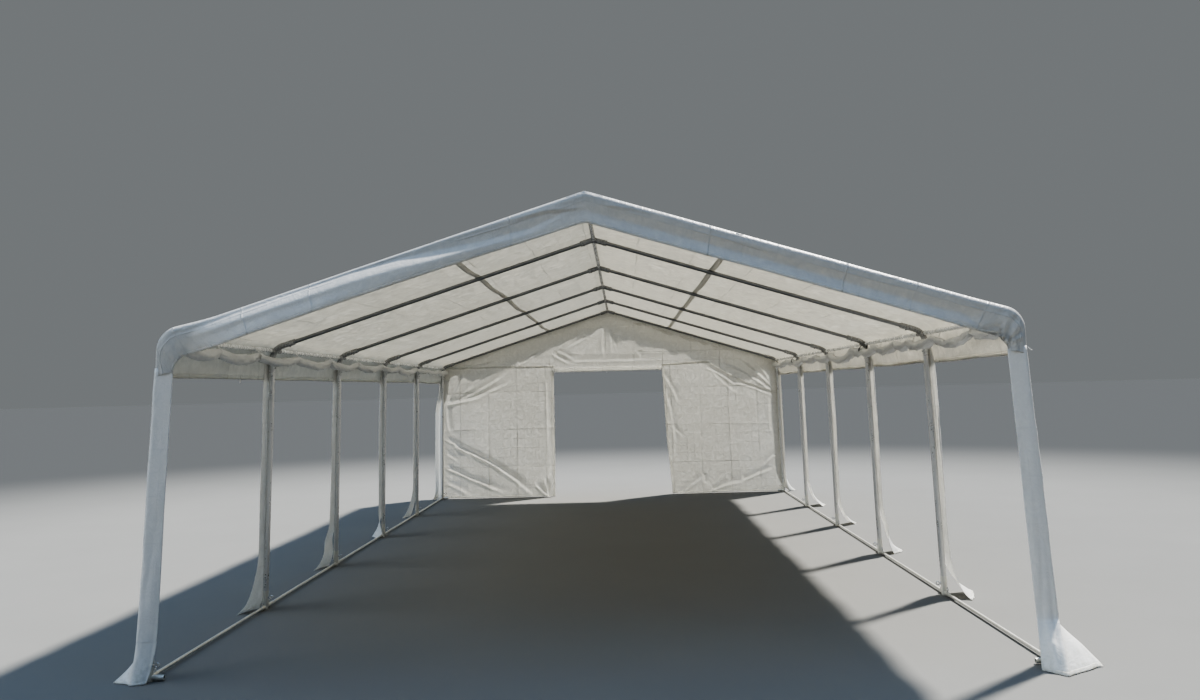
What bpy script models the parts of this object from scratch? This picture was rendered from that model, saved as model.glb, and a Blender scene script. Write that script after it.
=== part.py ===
# Marquee tent: a white cover on a frame of galvanised tubes, six portals long, open along both
# sides and at the front, with an end wall and its doorway at the back.
# Metres, +Z up. The origin is on the ground in the middle of the tent, and the front faces -Y.

from math import atan2, cos, pi, radians, sin, tan

import bmesh
import bpy
from mathutils import Matrix, Vector

# Frame
SPAN = 6.0               # between the axes of the left and right posts
BAY = 2.0                # from one portal to the next
BAYS = 5
EAVE_HEIGHT = 2.30       # where the axes of a post and its rafter would meet
RIDGE_HEIGHT = 3.24      # where the axes of the two rafters meet
POST_RADIUS = 0.025
RAFTER_RADIUS = 0.019
RAIL_RADIUS = 0.019      # ridge and eave rails
GROUND_BAR_RADIUS = 0.0125
SOCKET_WALL = 0.0025
GROUND_SOCKET_WALL = 0.005
ELBOW_BEND = 0.12        # bend of the eave fitting, at its axis
SOCKET_LENGTH = 0.13     # from the end of the bend or from the ridge to the mouth of a socket
SOCKET_DEPTH = 0.08      # how far a post or rafter reaches into its socket
RAIL_SOCKET_LENGTH = 0.11
FOOT_SOCKET_HEIGHT = 0.16
FOOT_FLOOR = 0.012       # closed bottom of the foot fitting
GROUND_SOCKET_LENGTH = 0.10
GROUND_BAR_CLEARANCE = 0.005
STUB_LENGTH = 0.105      # empty socket on the corner feet, for a bar across the end
STUB_DEPTH = 0.06

# Cover
SHEET = 0.004            # thickness of the plain solids that stand for the cloth
SIDE_VALANCE_DROP = 0.28     # from the eave down to the hem of the side valances
GABLE_VALANCE_DEPTH = 0.24
GABLE_VALANCE_FILLET = 0.14
LEG_FACE_WIDTH = 0.14    # face of a corner sleeve on the gable side
LEG_SIDE_WIDTH = 0.16    # its return along the side
STRIP_WIDTH = 0.20       # leg strip outside each inner post
FLARE = 0.20             # how far a leg strip is pulled outwards on the ground
FLARE_HEIGHT = 0.32
CLOTH_LIFT = 0.003       # the cloth's hems end this far above the ground

# End wall and rolled side walls
DOORWAY_WIDTH = 1.98
DOORWAY_DROP = 0.12      # from the eave down to the head of the doorway
ROLL_RADIUS = 0.037
ROLL_DROP = 0.105        # from the eave down to the axis of a rolled wall, at its ties
ROLL_SAG = 0.045
ROLL_TIE_SPACING = 1.0

FIT = 0.0003             # clearance between neighbours that touch
WELD = 0.00001
TUBE_SIDES = 16
ELBOW_RESOLUTION = 4
BEND_STEPS = 5
ROLL_STEPS = 4           # straight runs between two ties

HALF_SPAN = SPAN / 2
HALF_LENGTH = BAY * BAYS / 2
PORTALS = [-HALF_LENGTH + BAY * number for number in range(BAYS + 1)]
PITCH = atan2(RIDGE_HEIGHT - EAVE_HEIGHT, HALF_SPAN)
JOINT_RADIUS = POST_RADIUS + SOCKET_WALL
GROUND_SOCKET_RADIUS = GROUND_BAR_RADIUS + GROUND_SOCKET_WALL
GROUND_BAR_HEIGHT = GROUND_SOCKET_RADIUS + GROUND_BAR_CLEARANCE
BEND_TANGENT = ELBOW_BEND * tan((pi / 2 - PITCH) / 2)   # from the node to the end of the bend
RAFTER_LENGTH = (RIDGE_HEIGHT - EAVE_HEIGHT) / sin(PITCH)
SIDE_VALANCE_HEM = EAVE_HEIGHT - SIDE_VALANCE_DROP
DOORWAY_HEIGHT = EAVE_HEIGHT - DOORWAY_DROP
ROLL_AXIS_HEIGHT = EAVE_HEIGHT - ROLL_DROP
SIDES = (("left", -1), ("right", 1))

# Planes that the cloth keeps to, from the frame outwards
COVER_LIFT = JOINT_RADIUS + FIT                  # underside of the cover above the rafter's axis
SIDE_PLANE = HALF_SPAN + COVER_LIFT              # inner face of the side valances
WALL_PLANE = HALF_LENGTH + COVER_LIFT            # inner face of the end wall
GABLE_PLANE = WALL_PLANE + SHEET + FIT           # inner face of the gable valances
COVER_END = GABLE_PLANE + SHEET


def clear_scene():
    for item in list(bpy.data.objects):
        bpy.data.objects.remove(item, do_unlink=True)


def make_collections():
    tent = bpy.data.collections.new("marquee_tent")
    bpy.context.scene.collection.children.link(tent)
    return tent


def make_material(name, color, roughness, metallic=0.0):
    material = bpy.data.materials.new(name)
    material.use_nodes = True
    shader = material.node_tree.nodes["Principled BSDF"]
    shader.inputs["Base Color"].default_value = (*color, 1.0)
    shader.inputs["Roughness"].default_value = roughness
    shader.inputs["Metallic"].default_value = metallic
    material.diffuse_color = (*color, 1.0)
    return material


def finish(item, name, collection, material):
    """Names a finished piece, paints it and puts it in the tent's collection."""
    item.name = name
    item.data.name = name
    for holder in list(item.users_collection):
        holder.objects.unlink(item)
    collection.objects.link(item)
    item.data.materials.clear()
    item.data.materials.append(material)
    item.data.shade_smooth()
    item.data.set_sharp_from_angle(angle=radians(35))
    return item


def cylinder(start, end, radius, sides=TUBE_SIDES):
    start = Vector(start)
    end = Vector(end)
    along = end - start
    bpy.ops.mesh.primitive_cylinder_add(vertices=sides, radius=radius, depth=along.length)
    item = bpy.context.object
    turn = along.to_track_quat("Z", "Y").to_matrix().to_4x4()
    item.matrix_world = Matrix.Translation((start + end) / 2) @ turn
    return item


def weld(mesh):
    shape = bmesh.new()
    shape.from_mesh(mesh)
    bmesh.ops.remove_doubles(shape, verts=shape.verts, dist=WELD)
    bmesh.ops.dissolve_degenerate(shape, edges=shape.edges, dist=WELD)
    bmesh.ops.recalc_face_normals(shape, faces=shape.faces)
    shape.to_mesh(mesh)
    shape.free()


def mesh_of(curve_item):
    """Replaces a curve object by its evaluated mesh, with its caps welded."""
    graph = bpy.context.evaluated_depsgraph_get()
    mesh = bpy.data.meshes.new_from_object(curve_item.evaluated_get(graph))
    weld(mesh)
    item = bpy.data.objects.new(curve_item.name, mesh)
    bpy.context.scene.collection.objects.link(item)
    item.matrix_world = curve_item.matrix_world.copy()
    bpy.data.objects.remove(curve_item, do_unlink=True)
    return item


def poly_curve(points, dimensions, cyclic):
    data = bpy.data.curves.new("outline", "CURVE")
    data.dimensions = dimensions
    spline = data.splines.new("POLY")
    spline.points.add(len(points) - 1)
    for target, point in zip(spline.points, points):
        target.co = (*point, 0.0, 1.0) if len(point) == 2 else (*point, 1.0)
    spline.use_cyclic_u = cyclic
    item = bpy.data.objects.new("outline", data)
    bpy.context.scene.collection.objects.link(item)
    return item


def bent_tube(points, radius, resolution):
    item = poly_curve(points, "3D", False)
    item.data.bevel_depth = radius
    item.data.bevel_resolution = resolution
    item.data.use_fill_caps = True
    return mesh_of(item)


def plate(outline, low, high):
    """A flat outline in X and Z, as thick as the room from low to high along Y."""
    item = poly_curve(outline, "2D", True)
    item.data.fill_mode = "BOTH"
    item.data.extrude = (high - low) / 2
    item.matrix_world = Matrix.Translation((0, (low + high) / 2, 0)) @ Matrix.Rotation(pi / 2, 4, "X")
    bpy.context.view_layer.update()
    return mesh_of(item)


def combine(target, tool, operation):
    modifier = target.modifiers.new(operation, "BOOLEAN")
    modifier.operation = operation
    modifier.solver = "EXACT"
    modifier.object = tool
    graph = bpy.context.evaluated_depsgraph_get()
    mesh = bpy.data.meshes.new_from_object(target.evaluated_get(graph))
    target.modifiers.clear()
    target.data = mesh
    bpy.data.objects.remove(tool, do_unlink=True)


def build_up(solids, bores):
    """Joins the solids into one piece, then cuts the bores out of it."""
    body = solids[0]
    body.data.transform(body.matrix_world)
    body.matrix_world = Matrix()
    for solid in solids[1:]:
        combine(body, solid, "UNION")
    for bore in bores:
        combine(body, bore, "DIFFERENCE")
    weld(body.data)
    return body


def along_rafter(side, y, distance):
    """A point on the rafter's axis, this far up from the eave."""
    return Vector((side * (HALF_SPAN - distance * cos(PITCH)), y, EAVE_HEIGHT + distance * sin(PITCH)))


def bend_points(radius, steps=BEND_STEPS):
    """The round of the eave in X and Z, from the roof's slope down to the upright."""
    center_x = HALF_SPAN - ELBOW_BEND
    center_z = EAVE_HEIGHT - BEND_TANGENT
    first = pi / 2 - PITCH
    turns = [first * (1 - step / steps) for step in range(steps + 1)]
    return [(center_x + radius * cos(turn), center_z + radius * sin(turn)) for turn in turns]


def slope_height(x, lift):
    """Height of a line this far above the rafters' axes."""
    return RIDGE_HEIGHT - abs(x) * tan(PITCH) + lift / cos(PITCH)


def make_posts(collection, material):
    top = EAVE_HEIGHT - BEND_TANGENT - SOCKET_LENGTH + SOCKET_DEPTH - FIT
    for side_name, side in SIDES:
        for number, y in enumerate(PORTALS, start=1):
            x = side * HALF_SPAN
            post = cylinder((x, y, FOOT_FLOOR + FIT), (x, y, top), POST_RADIUS)
            finish(post, f"post_{side_name}_{number}", collection, material)


def make_rafters(collection, material):
    low = BEND_TANGENT + SOCKET_LENGTH - SOCKET_DEPTH + FIT
    high = RAFTER_LENGTH - SOCKET_LENGTH + SOCKET_DEPTH - FIT
    for side_name, side in SIDES:
        for number, y in enumerate(PORTALS, start=1):
            rafter = cylinder(along_rafter(side, y, low), along_rafter(side, y, high), RAFTER_RADIUS)
            finish(rafter, f"rafter_{side_name}_{number}", collection, material)


def rail_socket(x, y, z, radius, length):
    """The sleeve along a rail at one portal, on one side only at the tent's ends."""
    low = max(y - length, -HALF_LENGTH - JOINT_RADIUS / 2)
    high = min(y + length, HALF_LENGTH + JOINT_RADIUS / 2)
    return cylinder((x, low, z), (x, high, z), radius)


def rafter_bore(side, y, mouth, inward):
    """Cuts the room of a rafter's end, which reaches inward from the mouth of its socket."""
    return cylinder(
        along_rafter(side, y, mouth + inward * SOCKET_DEPTH),
        along_rafter(side, y, mouth - inward * SOCKET_DEPTH),
        RAFTER_RADIUS + FIT)


def make_ridge_rail(collection, material):
    mouth = RAFTER_LENGTH - SOCKET_LENGTH
    solids = [cylinder((0, -HALF_LENGTH, RIDGE_HEIGHT), (0, HALF_LENGTH, RIDGE_HEIGHT), RAIL_RADIUS)]
    for y in PORTALS:
        path = [along_rafter(-1, y, mouth), Vector((0, y, RIDGE_HEIGHT)), along_rafter(1, y, mouth)]
        tube = bent_tube(path, JOINT_RADIUS, ELBOW_RESOLUTION)
        sleeve = rail_socket(0, y, RIDGE_HEIGHT, RAIL_RADIUS + SOCKET_WALL, RAIL_SOCKET_LENGTH)
        bores = [rafter_bore(side, y, mouth, 1) for side_name, side in SIDES]
        solids.append(build_up([tube, sleeve], bores))
    finish(build_up(solids, []), "ridge_rail", collection, material)


def make_eave_rails(collection, material):
    mouth = BEND_TANGENT + SOCKET_LENGTH
    middle_x, middle_z = bend_points(ELBOW_BEND, steps=2)[1]
    for side_name, side in SIDES:
        x = side * middle_x
        solids = [cylinder((x, -HALF_LENGTH, middle_z), (x, HALF_LENGTH, middle_z), RAIL_RADIUS)]
        for y in PORTALS:
            path = [along_rafter(side, y, mouth)]
            path += [Vector((side * bend_x, y, bend_z)) for bend_x, bend_z in bend_points(ELBOW_BEND)]
            path.append(Vector((side * HALF_SPAN, y, EAVE_HEIGHT - mouth)))
            tube = bent_tube(path, JOINT_RADIUS, ELBOW_RESOLUTION)
            sleeve = rail_socket(x, y, middle_z, RAIL_RADIUS + SOCKET_WALL, RAIL_SOCKET_LENGTH)
            post_bore = cylinder(
                (side * HALF_SPAN, y, EAVE_HEIGHT - mouth - SOCKET_DEPTH),
                (side * HALF_SPAN, y, EAVE_HEIGHT - mouth + SOCKET_DEPTH),
                POST_RADIUS + FIT)
            solids.append(build_up([tube, sleeve], [rafter_bore(side, y, mouth, -1), post_bore]))
        finish(build_up(solids, []), f"eave_rail_{side_name}", collection, material)


def make_ground_rails(collection, material):
    z = GROUND_BAR_HEIGHT
    for side_name, side in SIDES:
        x = side * HALF_SPAN
        solids = [cylinder((x, -HALF_LENGTH, z), (x, HALF_LENGTH, z), GROUND_BAR_RADIUS)]
        bores = []
        for y in PORTALS:
            solids.append(rail_socket(x, y, z, GROUND_SOCKET_RADIUS, GROUND_SOCKET_LENGTH))
            solids.append(cylinder((x, y, 0), (x, y, FOOT_SOCKET_HEIGHT), JOINT_RADIUS))
            bores.append(cylinder((x, y, FOOT_FLOOR), (x, y, 2 * FOOT_SOCKET_HEIGHT), POST_RADIUS + FIT))
        for y in (-HALF_LENGTH, HALF_LENGTH):
            inner = x - side * STUB_LENGTH
            solids.append(cylinder((x, y, z), (inner, y, z), GROUND_SOCKET_RADIUS))
            bores.append(cylinder(
                (inner + side * STUB_DEPTH, y, z),
                (inner - side * STUB_DEPTH, y, z),
                GROUND_BAR_RADIUS + FIT))
        finish(build_up(solids, bores), f"ground_rail_{side_name}", collection, material)


def cover_line(lift):
    """Half of the cover's outline in X and Z, from the ridge to the side valance's hem."""
    points = [(FIT / 2, slope_height(FIT / 2, lift))]
    points += bend_points(ELBOW_BEND + lift)
    points.append((HALF_SPAN + lift, SIDE_VALANCE_HEM))
    return points


def make_roof(collection, material):
    outline = cover_line(COVER_LIFT + SHEET) + cover_line(COVER_LIFT)[::-1]
    for side_name, side in SIDES:
        roof = plate([(side * x, z) for x, z in outline], -COVER_END, COVER_END)
        finish(roof, f"roof_{side_name}", collection, material)


def under_roof():
    """The line just under the cover, from the ridge to the upright, for what closes the gables."""
    lift = COVER_LIFT - FIT
    return [(0, slope_height(0, lift))] + bend_points(ELBOW_BEND + lift)


def gable_valance_outline():
    top = under_roof()
    inner = HALF_SPAN + COVER_LIFT - LEG_FACE_WIDTH
    drop = COVER_LIFT - GABLE_VALANCE_DEPTH * cos(PITCH)
    half = top + [(HALF_SPAN + COVER_LIFT - FIT, SIDE_VALANCE_HEM), (inner, SIDE_VALANCE_HEM)]
    # the round where the lower edge turns down into the leg sleeve
    center_x = inner - GABLE_VALANCE_FILLET
    center_z = slope_height(inner, drop) - GABLE_VALANCE_FILLET * tan((pi / 2 - PITCH) / 2)
    for step in range(BEND_STEPS + 1):
        turn = (pi / 2 - PITCH) * step / BEND_STEPS
        half.append((center_x + GABLE_VALANCE_FILLET * cos(turn), center_z + GABLE_VALANCE_FILLET * sin(turn)))
    half.append((0, slope_height(0, drop)))
    return half + [(-x, z) for x, z in half[-2:0:-1]]


def make_gable_valances(collection, material):
    for name, side in (("front", -1), ("back", 1)):
        low, high = sorted((side * GABLE_PLANE, side * (GABLE_PLANE + SHEET - FIT)))
        valance = plate(gable_valance_outline(), low, high)
        finish(valance, f"gable_valance_{name}", collection, material)


def make_end_wall(collection, material):
    edge = HALF_SPAN + COVER_LIFT - FIT
    half = under_roof() + [(edge, DOORWAY_HEIGHT)]
    low = WALL_PLANE
    high = WALL_PLANE + SHEET
    top = plate(half + [(-x, z) for x, z in half[:0:-1]], low, high)
    finish(top, "back_wall_top", collection, material)
    for side_name, side in SIDES:
        jamb = DOORWAY_WIDTH / 2
        outline = [(jamb, CLOTH_LIFT), (edge, CLOTH_LIFT), (edge, DOORWAY_HEIGHT - FIT), (jamb, DOORWAY_HEIGHT - FIT)]
        panel = plate([(side * x, z) for x, z in outline], low, high)
        finish(panel, f"back_wall_{side_name}", collection, material)


def leg_cloth(path, pull):
    """A strip hung from the hem to the ground. path is its plan, a list of X and Y from its inner
    edge, and pull says how much of the flare each point of the path takes."""
    levels = [0.0, 0.25, 0.5, 0.75, 1.0]
    heights = [CLOTH_LIFT + FLARE_HEIGHT * level for level in levels] + [SIDE_VALANCE_HEM - FIT]
    mesh = bpy.data.meshes.new("leg")
    shape = bmesh.new()
    rows = []
    for height in heights:
        share = max(0.0, 1 - (height - CLOTH_LIFT) / FLARE_HEIGHT) ** 2
        rows.append([
            shape.verts.new((x + FLARE * share * part[0], y + FLARE * share * part[1], height))
            for (x, y), part in zip(path, pull)])
    for lower, upper in zip(rows, rows[1:]):
        for index in range(len(path) - 1):
            shape.faces.new((lower[index], lower[index + 1], upper[index + 1], upper[index]))
    shape.to_mesh(mesh)
    shape.free()
    item = bpy.data.objects.new("leg", mesh)
    bpy.context.scene.collection.objects.link(item)
    return item


def make_leg_covers(collection, material):
    for side_name, side in SIDES:
        for number, y in enumerate(PORTALS, start=1):
            x = side * SIDE_PLANE
            if abs(y) < HALF_LENGTH:
                path = [(x, y - STRIP_WIDTH / 2), (x, y + STRIP_WIDTH / 2)]
                pull = [(side, 0), (side, 0)]
                facing = side
            else:
                end = 1 if y > 0 else -1
                inner_x = x - side * LEG_FACE_WIDTH
                path = [(inner_x, end * GABLE_PLANE), (x, end * GABLE_PLANE), (x, end * (GABLE_PLANE - LEG_SIDE_WIDTH))]
                pull = [(0, 0), (side, 0), (side, 0)]
                facing = -side * end
            leg = leg_cloth(path, pull)
            wall = leg.modifiers.new("thickness", "SOLIDIFY")
            wall.thickness = SHEET - FIT
            wall.offset = facing
            wall.use_even_offset = True
            finish(leg, f"leg_cover_{side_name}_{number}", collection, material)


def make_rolled_walls(collection, material):
    x = HALF_SPAN - JOINT_RADIUS - FIT - ROLL_RADIUS
    ties = round(2 * HALF_LENGTH / ROLL_TIE_SPACING)
    count = ties * ROLL_STEPS
    points = []
    for step in range(count + 1):
        sag = ROLL_SAG * abs(sin(pi * step / ROLL_STEPS))
        y = -HALF_LENGTH + 2 * HALF_LENGTH * step / count
        points.append((y, ROLL_AXIS_HEIGHT - sag))
    for side_name, side in SIDES:
        roll = bent_tube([(side * x, y, z) for y, z in points], ROLL_RADIUS, 2)
        finish(roll, f"rolled_wall_{side_name}", collection, material)


def main():
    clear_scene()
    tent = make_collections()
    post_steel = make_material("post_steel", (0.55, 0.57, 0.58), 0.42, 0.9)
    rafter_steel = make_material("rafter_steel", (0.50, 0.52, 0.53), 0.42, 0.9)
    rail_steel = make_material("rail_steel", (0.60, 0.62, 0.62), 0.40, 0.9)
    ground_steel = make_material("ground_steel", (0.56, 0.57, 0.57), 0.45, 0.9)
    cover_cloth = make_material("cover_cloth", (0.86, 0.87, 0.86), 0.45)
    wall_cloth = make_material("wall_cloth", (0.84, 0.85, 0.83), 0.45)

    make_posts(tent, post_steel)
    make_rafters(tent, rafter_steel)
    make_ridge_rail(tent, rail_steel)
    make_eave_rails(tent, rail_steel)
    make_ground_rails(tent, ground_steel)
    make_roof(tent, cover_cloth)
    make_gable_valances(tent, cover_cloth)
    make_leg_covers(tent, cover_cloth)
    make_end_wall(tent, wall_cloth)
    make_rolled_walls(tent, wall_cloth)


main()
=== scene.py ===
from math import atan2, cos, pi, radians, sin, tan

import bmesh
import bpy
import numpy as np
from mathutils import Matrix, Vector


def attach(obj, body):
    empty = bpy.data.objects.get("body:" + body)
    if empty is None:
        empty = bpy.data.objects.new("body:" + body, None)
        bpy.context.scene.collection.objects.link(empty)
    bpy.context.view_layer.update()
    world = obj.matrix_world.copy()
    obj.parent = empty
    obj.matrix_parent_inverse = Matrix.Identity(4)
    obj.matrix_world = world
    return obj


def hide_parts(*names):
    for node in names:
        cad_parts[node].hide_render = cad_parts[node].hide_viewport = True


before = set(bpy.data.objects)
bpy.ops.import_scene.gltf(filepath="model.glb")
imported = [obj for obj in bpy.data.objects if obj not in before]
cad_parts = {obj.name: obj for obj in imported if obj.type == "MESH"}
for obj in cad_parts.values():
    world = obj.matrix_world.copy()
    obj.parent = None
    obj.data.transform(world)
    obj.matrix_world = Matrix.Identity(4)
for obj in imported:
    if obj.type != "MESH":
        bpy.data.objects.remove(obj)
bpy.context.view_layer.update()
print("frame loaded, nodes:", len(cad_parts))

# The tent's own measures, in metres
tent = {
    "span": 6.0,
    "bay": 2.0,
    "bays": 5,
    "eave": 2.30,            # where the axes of a post and its rafter meet
    "ridge": 3.24,
    "bend": 0.12,            # round of the eave fitting, at its axis
    "fitting": 0.0275,       # radius of the fittings
    "sideHem": 2.02,
}
sheetThickness = 0.0012
hemThickness = 0.0034
halfSpan = tent["span"] / 2
halfLength = tent["bay"] * tent["bays"] / 2
portals = [-halfLength + tent["bay"] * number for number in range(tent["bays"] + 1)]
pitch = atan2(tent["ridge"] - tent["eave"], halfSpan)
bendTangent = tent["bend"] * tan((pi / 2 - pitch) / 2)
bendX = halfSpan - tent["bend"]
bendZ = tent["eave"] - bendTangent
slopeLength = (tent["ridge"] - tent["eave"]) / sin(pitch) - bendTangent
sides = (("left", -1), ("right", 1))


# Small tools for grids of points and smooth noise
latticeSize = 256
latticeShift = (1000.37, 1000.71)    # keeps the tent's middle off the lattice's own lines


def noise(x, y, seed):
    # soft noise between -1 and 1 on a grid of one unit
    table = np.random.default_rng(seed).random((latticeSize + 1, latticeSize + 1)) * 2 - 1
    x = np.asarray(x, float) + latticeShift[0]
    y = np.asarray(y, float) + latticeShift[1]
    column = np.floor(x).astype(int)
    row = np.floor(y).astype(int)
    dx = x - column
    dy = y - row
    dx = dx * dx * dx * (dx * (dx * 6 - 15) + 10)
    dy = dy * dy * dy * (dy * (dy * 6 - 15) + 10)
    column = column % latticeSize
    row = row % latticeSize
    low = table[row, column] * (1 - dx) + table[row, column + 1] * dx
    high = table[row + 1, column] * (1 - dx) + table[row + 1, column + 1] * dx
    return low * (1 - dy) + high * dy


def lineNoise(x, seed):
    x = np.asarray(x, float)
    return noise(x, x * 0, seed)


def layeredNoise(x, y, seed, layers=3):
    return sum(noise(x * 2 ** layer, y * 2 ** layer, seed + layer) / 2 ** layer for layer in range(layers))


def creaseNoise(x, y, seed):
    # narrow ridges, as in crumpled sheet
    first = 1 - np.abs(noise(x, y, seed)) * 2.2
    second = 1 - np.abs(noise(x * 1.9 + 3, y * 1.9, seed + 5)) * 2.2
    return np.maximum(first, 0) ** 3 + 0.5 * np.maximum(second, 0) ** 3


def smooth(value, low, high):
    share = np.clip((np.asarray(value, float) - low) / (high - low), 0, 1)
    return share * share * (3 - 2 * share)


def lineAt(line, value):
    # height of a line of points at a place, or at many
    spots = np.array(line)
    return np.interp(value, spots[:, 0], spots[:, 1])


def beside(*values):
    return np.stack(np.broadcast_arrays(*values), axis=-1)


def foldLine(x, z, start, end, width, height, least=0.0):
    # a fold that starts narrow, widens in a slight bow and dies away; its steep side is below and to the left
    start = np.array(start, float)
    along = np.array(end, float) - start
    length = np.hypot(*along)
    along = along / length
    across = np.array((-along[1], along[0]))
    if across[0] * 0.5 + across[1] < 0:
        across = -across
    run = (x - start[0]) * along[0] + (z - start[1]) * along[1]
    off = (x - start[0]) * across[0] + (z - start[1]) * across[1]
    share = run / length
    inside = np.clip(share, 0, 1)
    bow = 0.05 * sin(37.0 * start[0] + 11.0 * start[1])
    off = off - bow * length * np.sin(pi * inside) + 0.006 * lineNoise(run * 7, 9)
    wide = np.maximum(width * (0.6 + 0.9 * inside), least)
    fade = smooth(share, -0.03, 0.07) * (1 - smooth(share, 0.62, 1.08))
    crest = np.exp(-(off / np.where(off < 0, 0.8 * wide, 2.0 * wide)) ** 2)
    return height * fade * (crest - 0.45 * np.exp(-((off + 1.5 * wide) / (0.9 * wide)) ** 2))


def starFolds(x, z, centre, count, reach, height, seed, low=-pi, high=pi):
    # tension folds that run out of one tied point
    dx = x - centre[0]
    dz = z - centre[1]
    distance = np.hypot(dx, dz)
    angle = np.arctan2(dz, dx)
    inside = smooth(angle, low, low + 0.25) * (1 - smooth(angle, high - 0.25, high))
    wave = np.cos(angle * count + 1.7 * noise(angle * 1.3, distance * 2, seed))
    fade = np.exp(-distance / reach) * smooth(distance, 0.0, 0.06)
    return height * wave * fade * inside


def samplePoints(values, row, column):
    # values between the grid's rows and columns, and a little beyond its edges
    lowRow = np.clip(np.floor(row).astype(int), 0, values.shape[0] - 2)
    lowColumn = np.clip(np.floor(column).astype(int), 0, values.shape[1] - 2)
    overRow = (row - lowRow)[..., None]
    overColumn = (column - lowColumn)[..., None]
    near, far = (values[line, lowColumn] * (1 - overColumn) + values[line, lowColumn + 1] * overColumn
                 for line in (lowRow, lowRow + 1))
    return near * (1 - overRow) + far * overRow


def newObject(name, data):
    item = bpy.data.objects.new(name, data)
    bpy.context.scene.collection.objects.link(item)
    return item


def gridObject(name, points, uv, thickness, closed=False):
    rows, columns = points.shape[:2]
    index = np.arange(rows * columns).reshape(rows, columns)
    if closed:
        index = np.concatenate([index, index[:, :1]], axis=1)
    quads = np.stack([index[:-1, :-1], index[:-1, 1:], index[1:, 1:], index[1:, :-1]], axis=-1)
    mesh = bpy.data.meshes.new(name)
    mesh.from_pydata(points.reshape(-1, 3).tolist(), [], quads.reshape(-1, 4).tolist())
    layer = mesh.uv_layers.new(name="flatCloth")
    corners = np.zeros(len(mesh.loops), int)
    mesh.loops.foreach_get("vertex_index", corners)
    layer.data.foreach_set("uv", uv.reshape(-1, 2)[corners].astype(np.float32).ravel())
    mesh.shade_smooth()
    item = newObject(name, mesh)
    if thickness:
        solid = item.modifiers.new("thickness", "SOLIDIFY")
        solid.thickness = thickness
        solid.offset = 0
    return item


def patchOn(name, points, uv, rowRange, columnRange, count, thickness=hemThickness):
    # a band of cloth that follows part of a sheet's grid
    row = np.linspace(*rowRange, count[0])[:, None] * np.ones(count[1])
    column = np.ones(count[0])[:, None] * np.linspace(*columnRange, count[1])
    return gridObject(name, samplePoints(points, row, column), samplePoints(uv, row, column), thickness)


def shapeObject(name, shape, sharpAngle):
    mesh = bpy.data.meshes.new(name)
    shape.to_mesh(mesh)
    shape.free()
    mesh.shade_smooth()
    mesh.set_sharp_from_angle(angle=radians(sharpAngle))
    return newObject(name, mesh)


def joined(name, items):
    # one object out of several, with their modifiers applied
    graph = bpy.context.evaluated_depsgraph_get()
    shape = bmesh.new()
    for item in items:
        mesh = bpy.data.meshes.new_from_object(item.evaluated_get(graph))
        mesh.transform(item.matrix_world)
        shape.from_mesh(mesh)
        bpy.data.meshes.remove(mesh)
        bpy.data.objects.remove(item, do_unlink=True)
    return shapeObject(name, shape, 40)


# Node groups
class Wires:
    # short hand for adding nodes to one tree and joining them
    def __init__(self, tree):
        self.tree = tree
        self.count = 0

    def feed(self, made, values):
        for label, value in values.items():
            if isinstance(value, bpy.types.NodeSocket):
                self.tree.links.new(value, made.inputs[label])
            else:
                made.inputs[label].default_value = value

    def node(self, kind, values=None, **settings):
        made = self.tree.nodes.new("ShaderNode" + kind)
        made.location = (-700 + 180 * (self.count % 8), 300 - 160 * (self.count // 8))
        self.count += 1
        for key, value in settings.items():
            setattr(made, key, value)
        self.feed(made, values or {})
        return made

    def math(self, operation, *values):
        return self.node("Math", dict(enumerate(values)), operation=operation).outputs[0]

    def add(self, total, *others):
        for value in others:
            total = self.math("ADD", total, value)
        return total

    def times(self, total, *others):
        for value in others:
            total = self.math("MULTIPLY", total, value)
        return total

    def spread(self, value, low, high, newLow=0.0, newHigh=1.0, **settings):
        values = {"Value": value, "From Min": low, "From Max": high, "To Min": newLow, "To Max": newHigh}
        return self.node("MapRange", values, **settings).outputs["Result"]

    def noise(self, vector, scale, detail=3.0, roughness=0.5, distortion=0.0):
        values = {"Vector": vector, "Scale": scale, "Detail": detail, "Roughness": roughness,
                  "Distortion": distortion}
        return self.node("TexNoise", values).outputs["Fac"]

    def tint(self, share, first, second):
        return self.node("Mix", {0: share, 6: first, 7: second}, data_type="RGBA").outputs[2]

    def split(self, vector):
        return self.node("SeparateXYZ", {0: vector}).outputs

    def stretch(self, vector, scale):
        return self.node("Mapping", {"Vector": vector, "Scale": scale}).outputs[0]

    def bump(self, height, strength, distance):
        return self.node("Bump", {"Height": height, "Strength": strength, "Distance": distance}).outputs[0]

    def use(self, group, values):
        return self.node("Group", values, node_tree=group).outputs


def makeGroup(name, inputs, outputs):
    # inputs with no value of their own are vectors, and everything else is a number
    group = bpy.data.node_groups.new(name, "ShaderNodeTree")
    for label, value in inputs.items():
        kind = "NodeSocketVector" if value is None else "NodeSocketFloat"
        socket = group.interface.new_socket(name=label, in_out="INPUT", socket_type=kind)
        if value is not None:
            socket.default_value = value
    for label in outputs:
        group.interface.new_socket(name=label, in_out="OUTPUT", socket_type="NodeSocketFloat")
    source = group.nodes.new("NodeGroupInput")
    target = group.nodes.new("NodeGroupOutput")
    source.location = (-900, 0)
    target.location = (900, 0)
    return group, Wires(group), source.outputs, target


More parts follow.
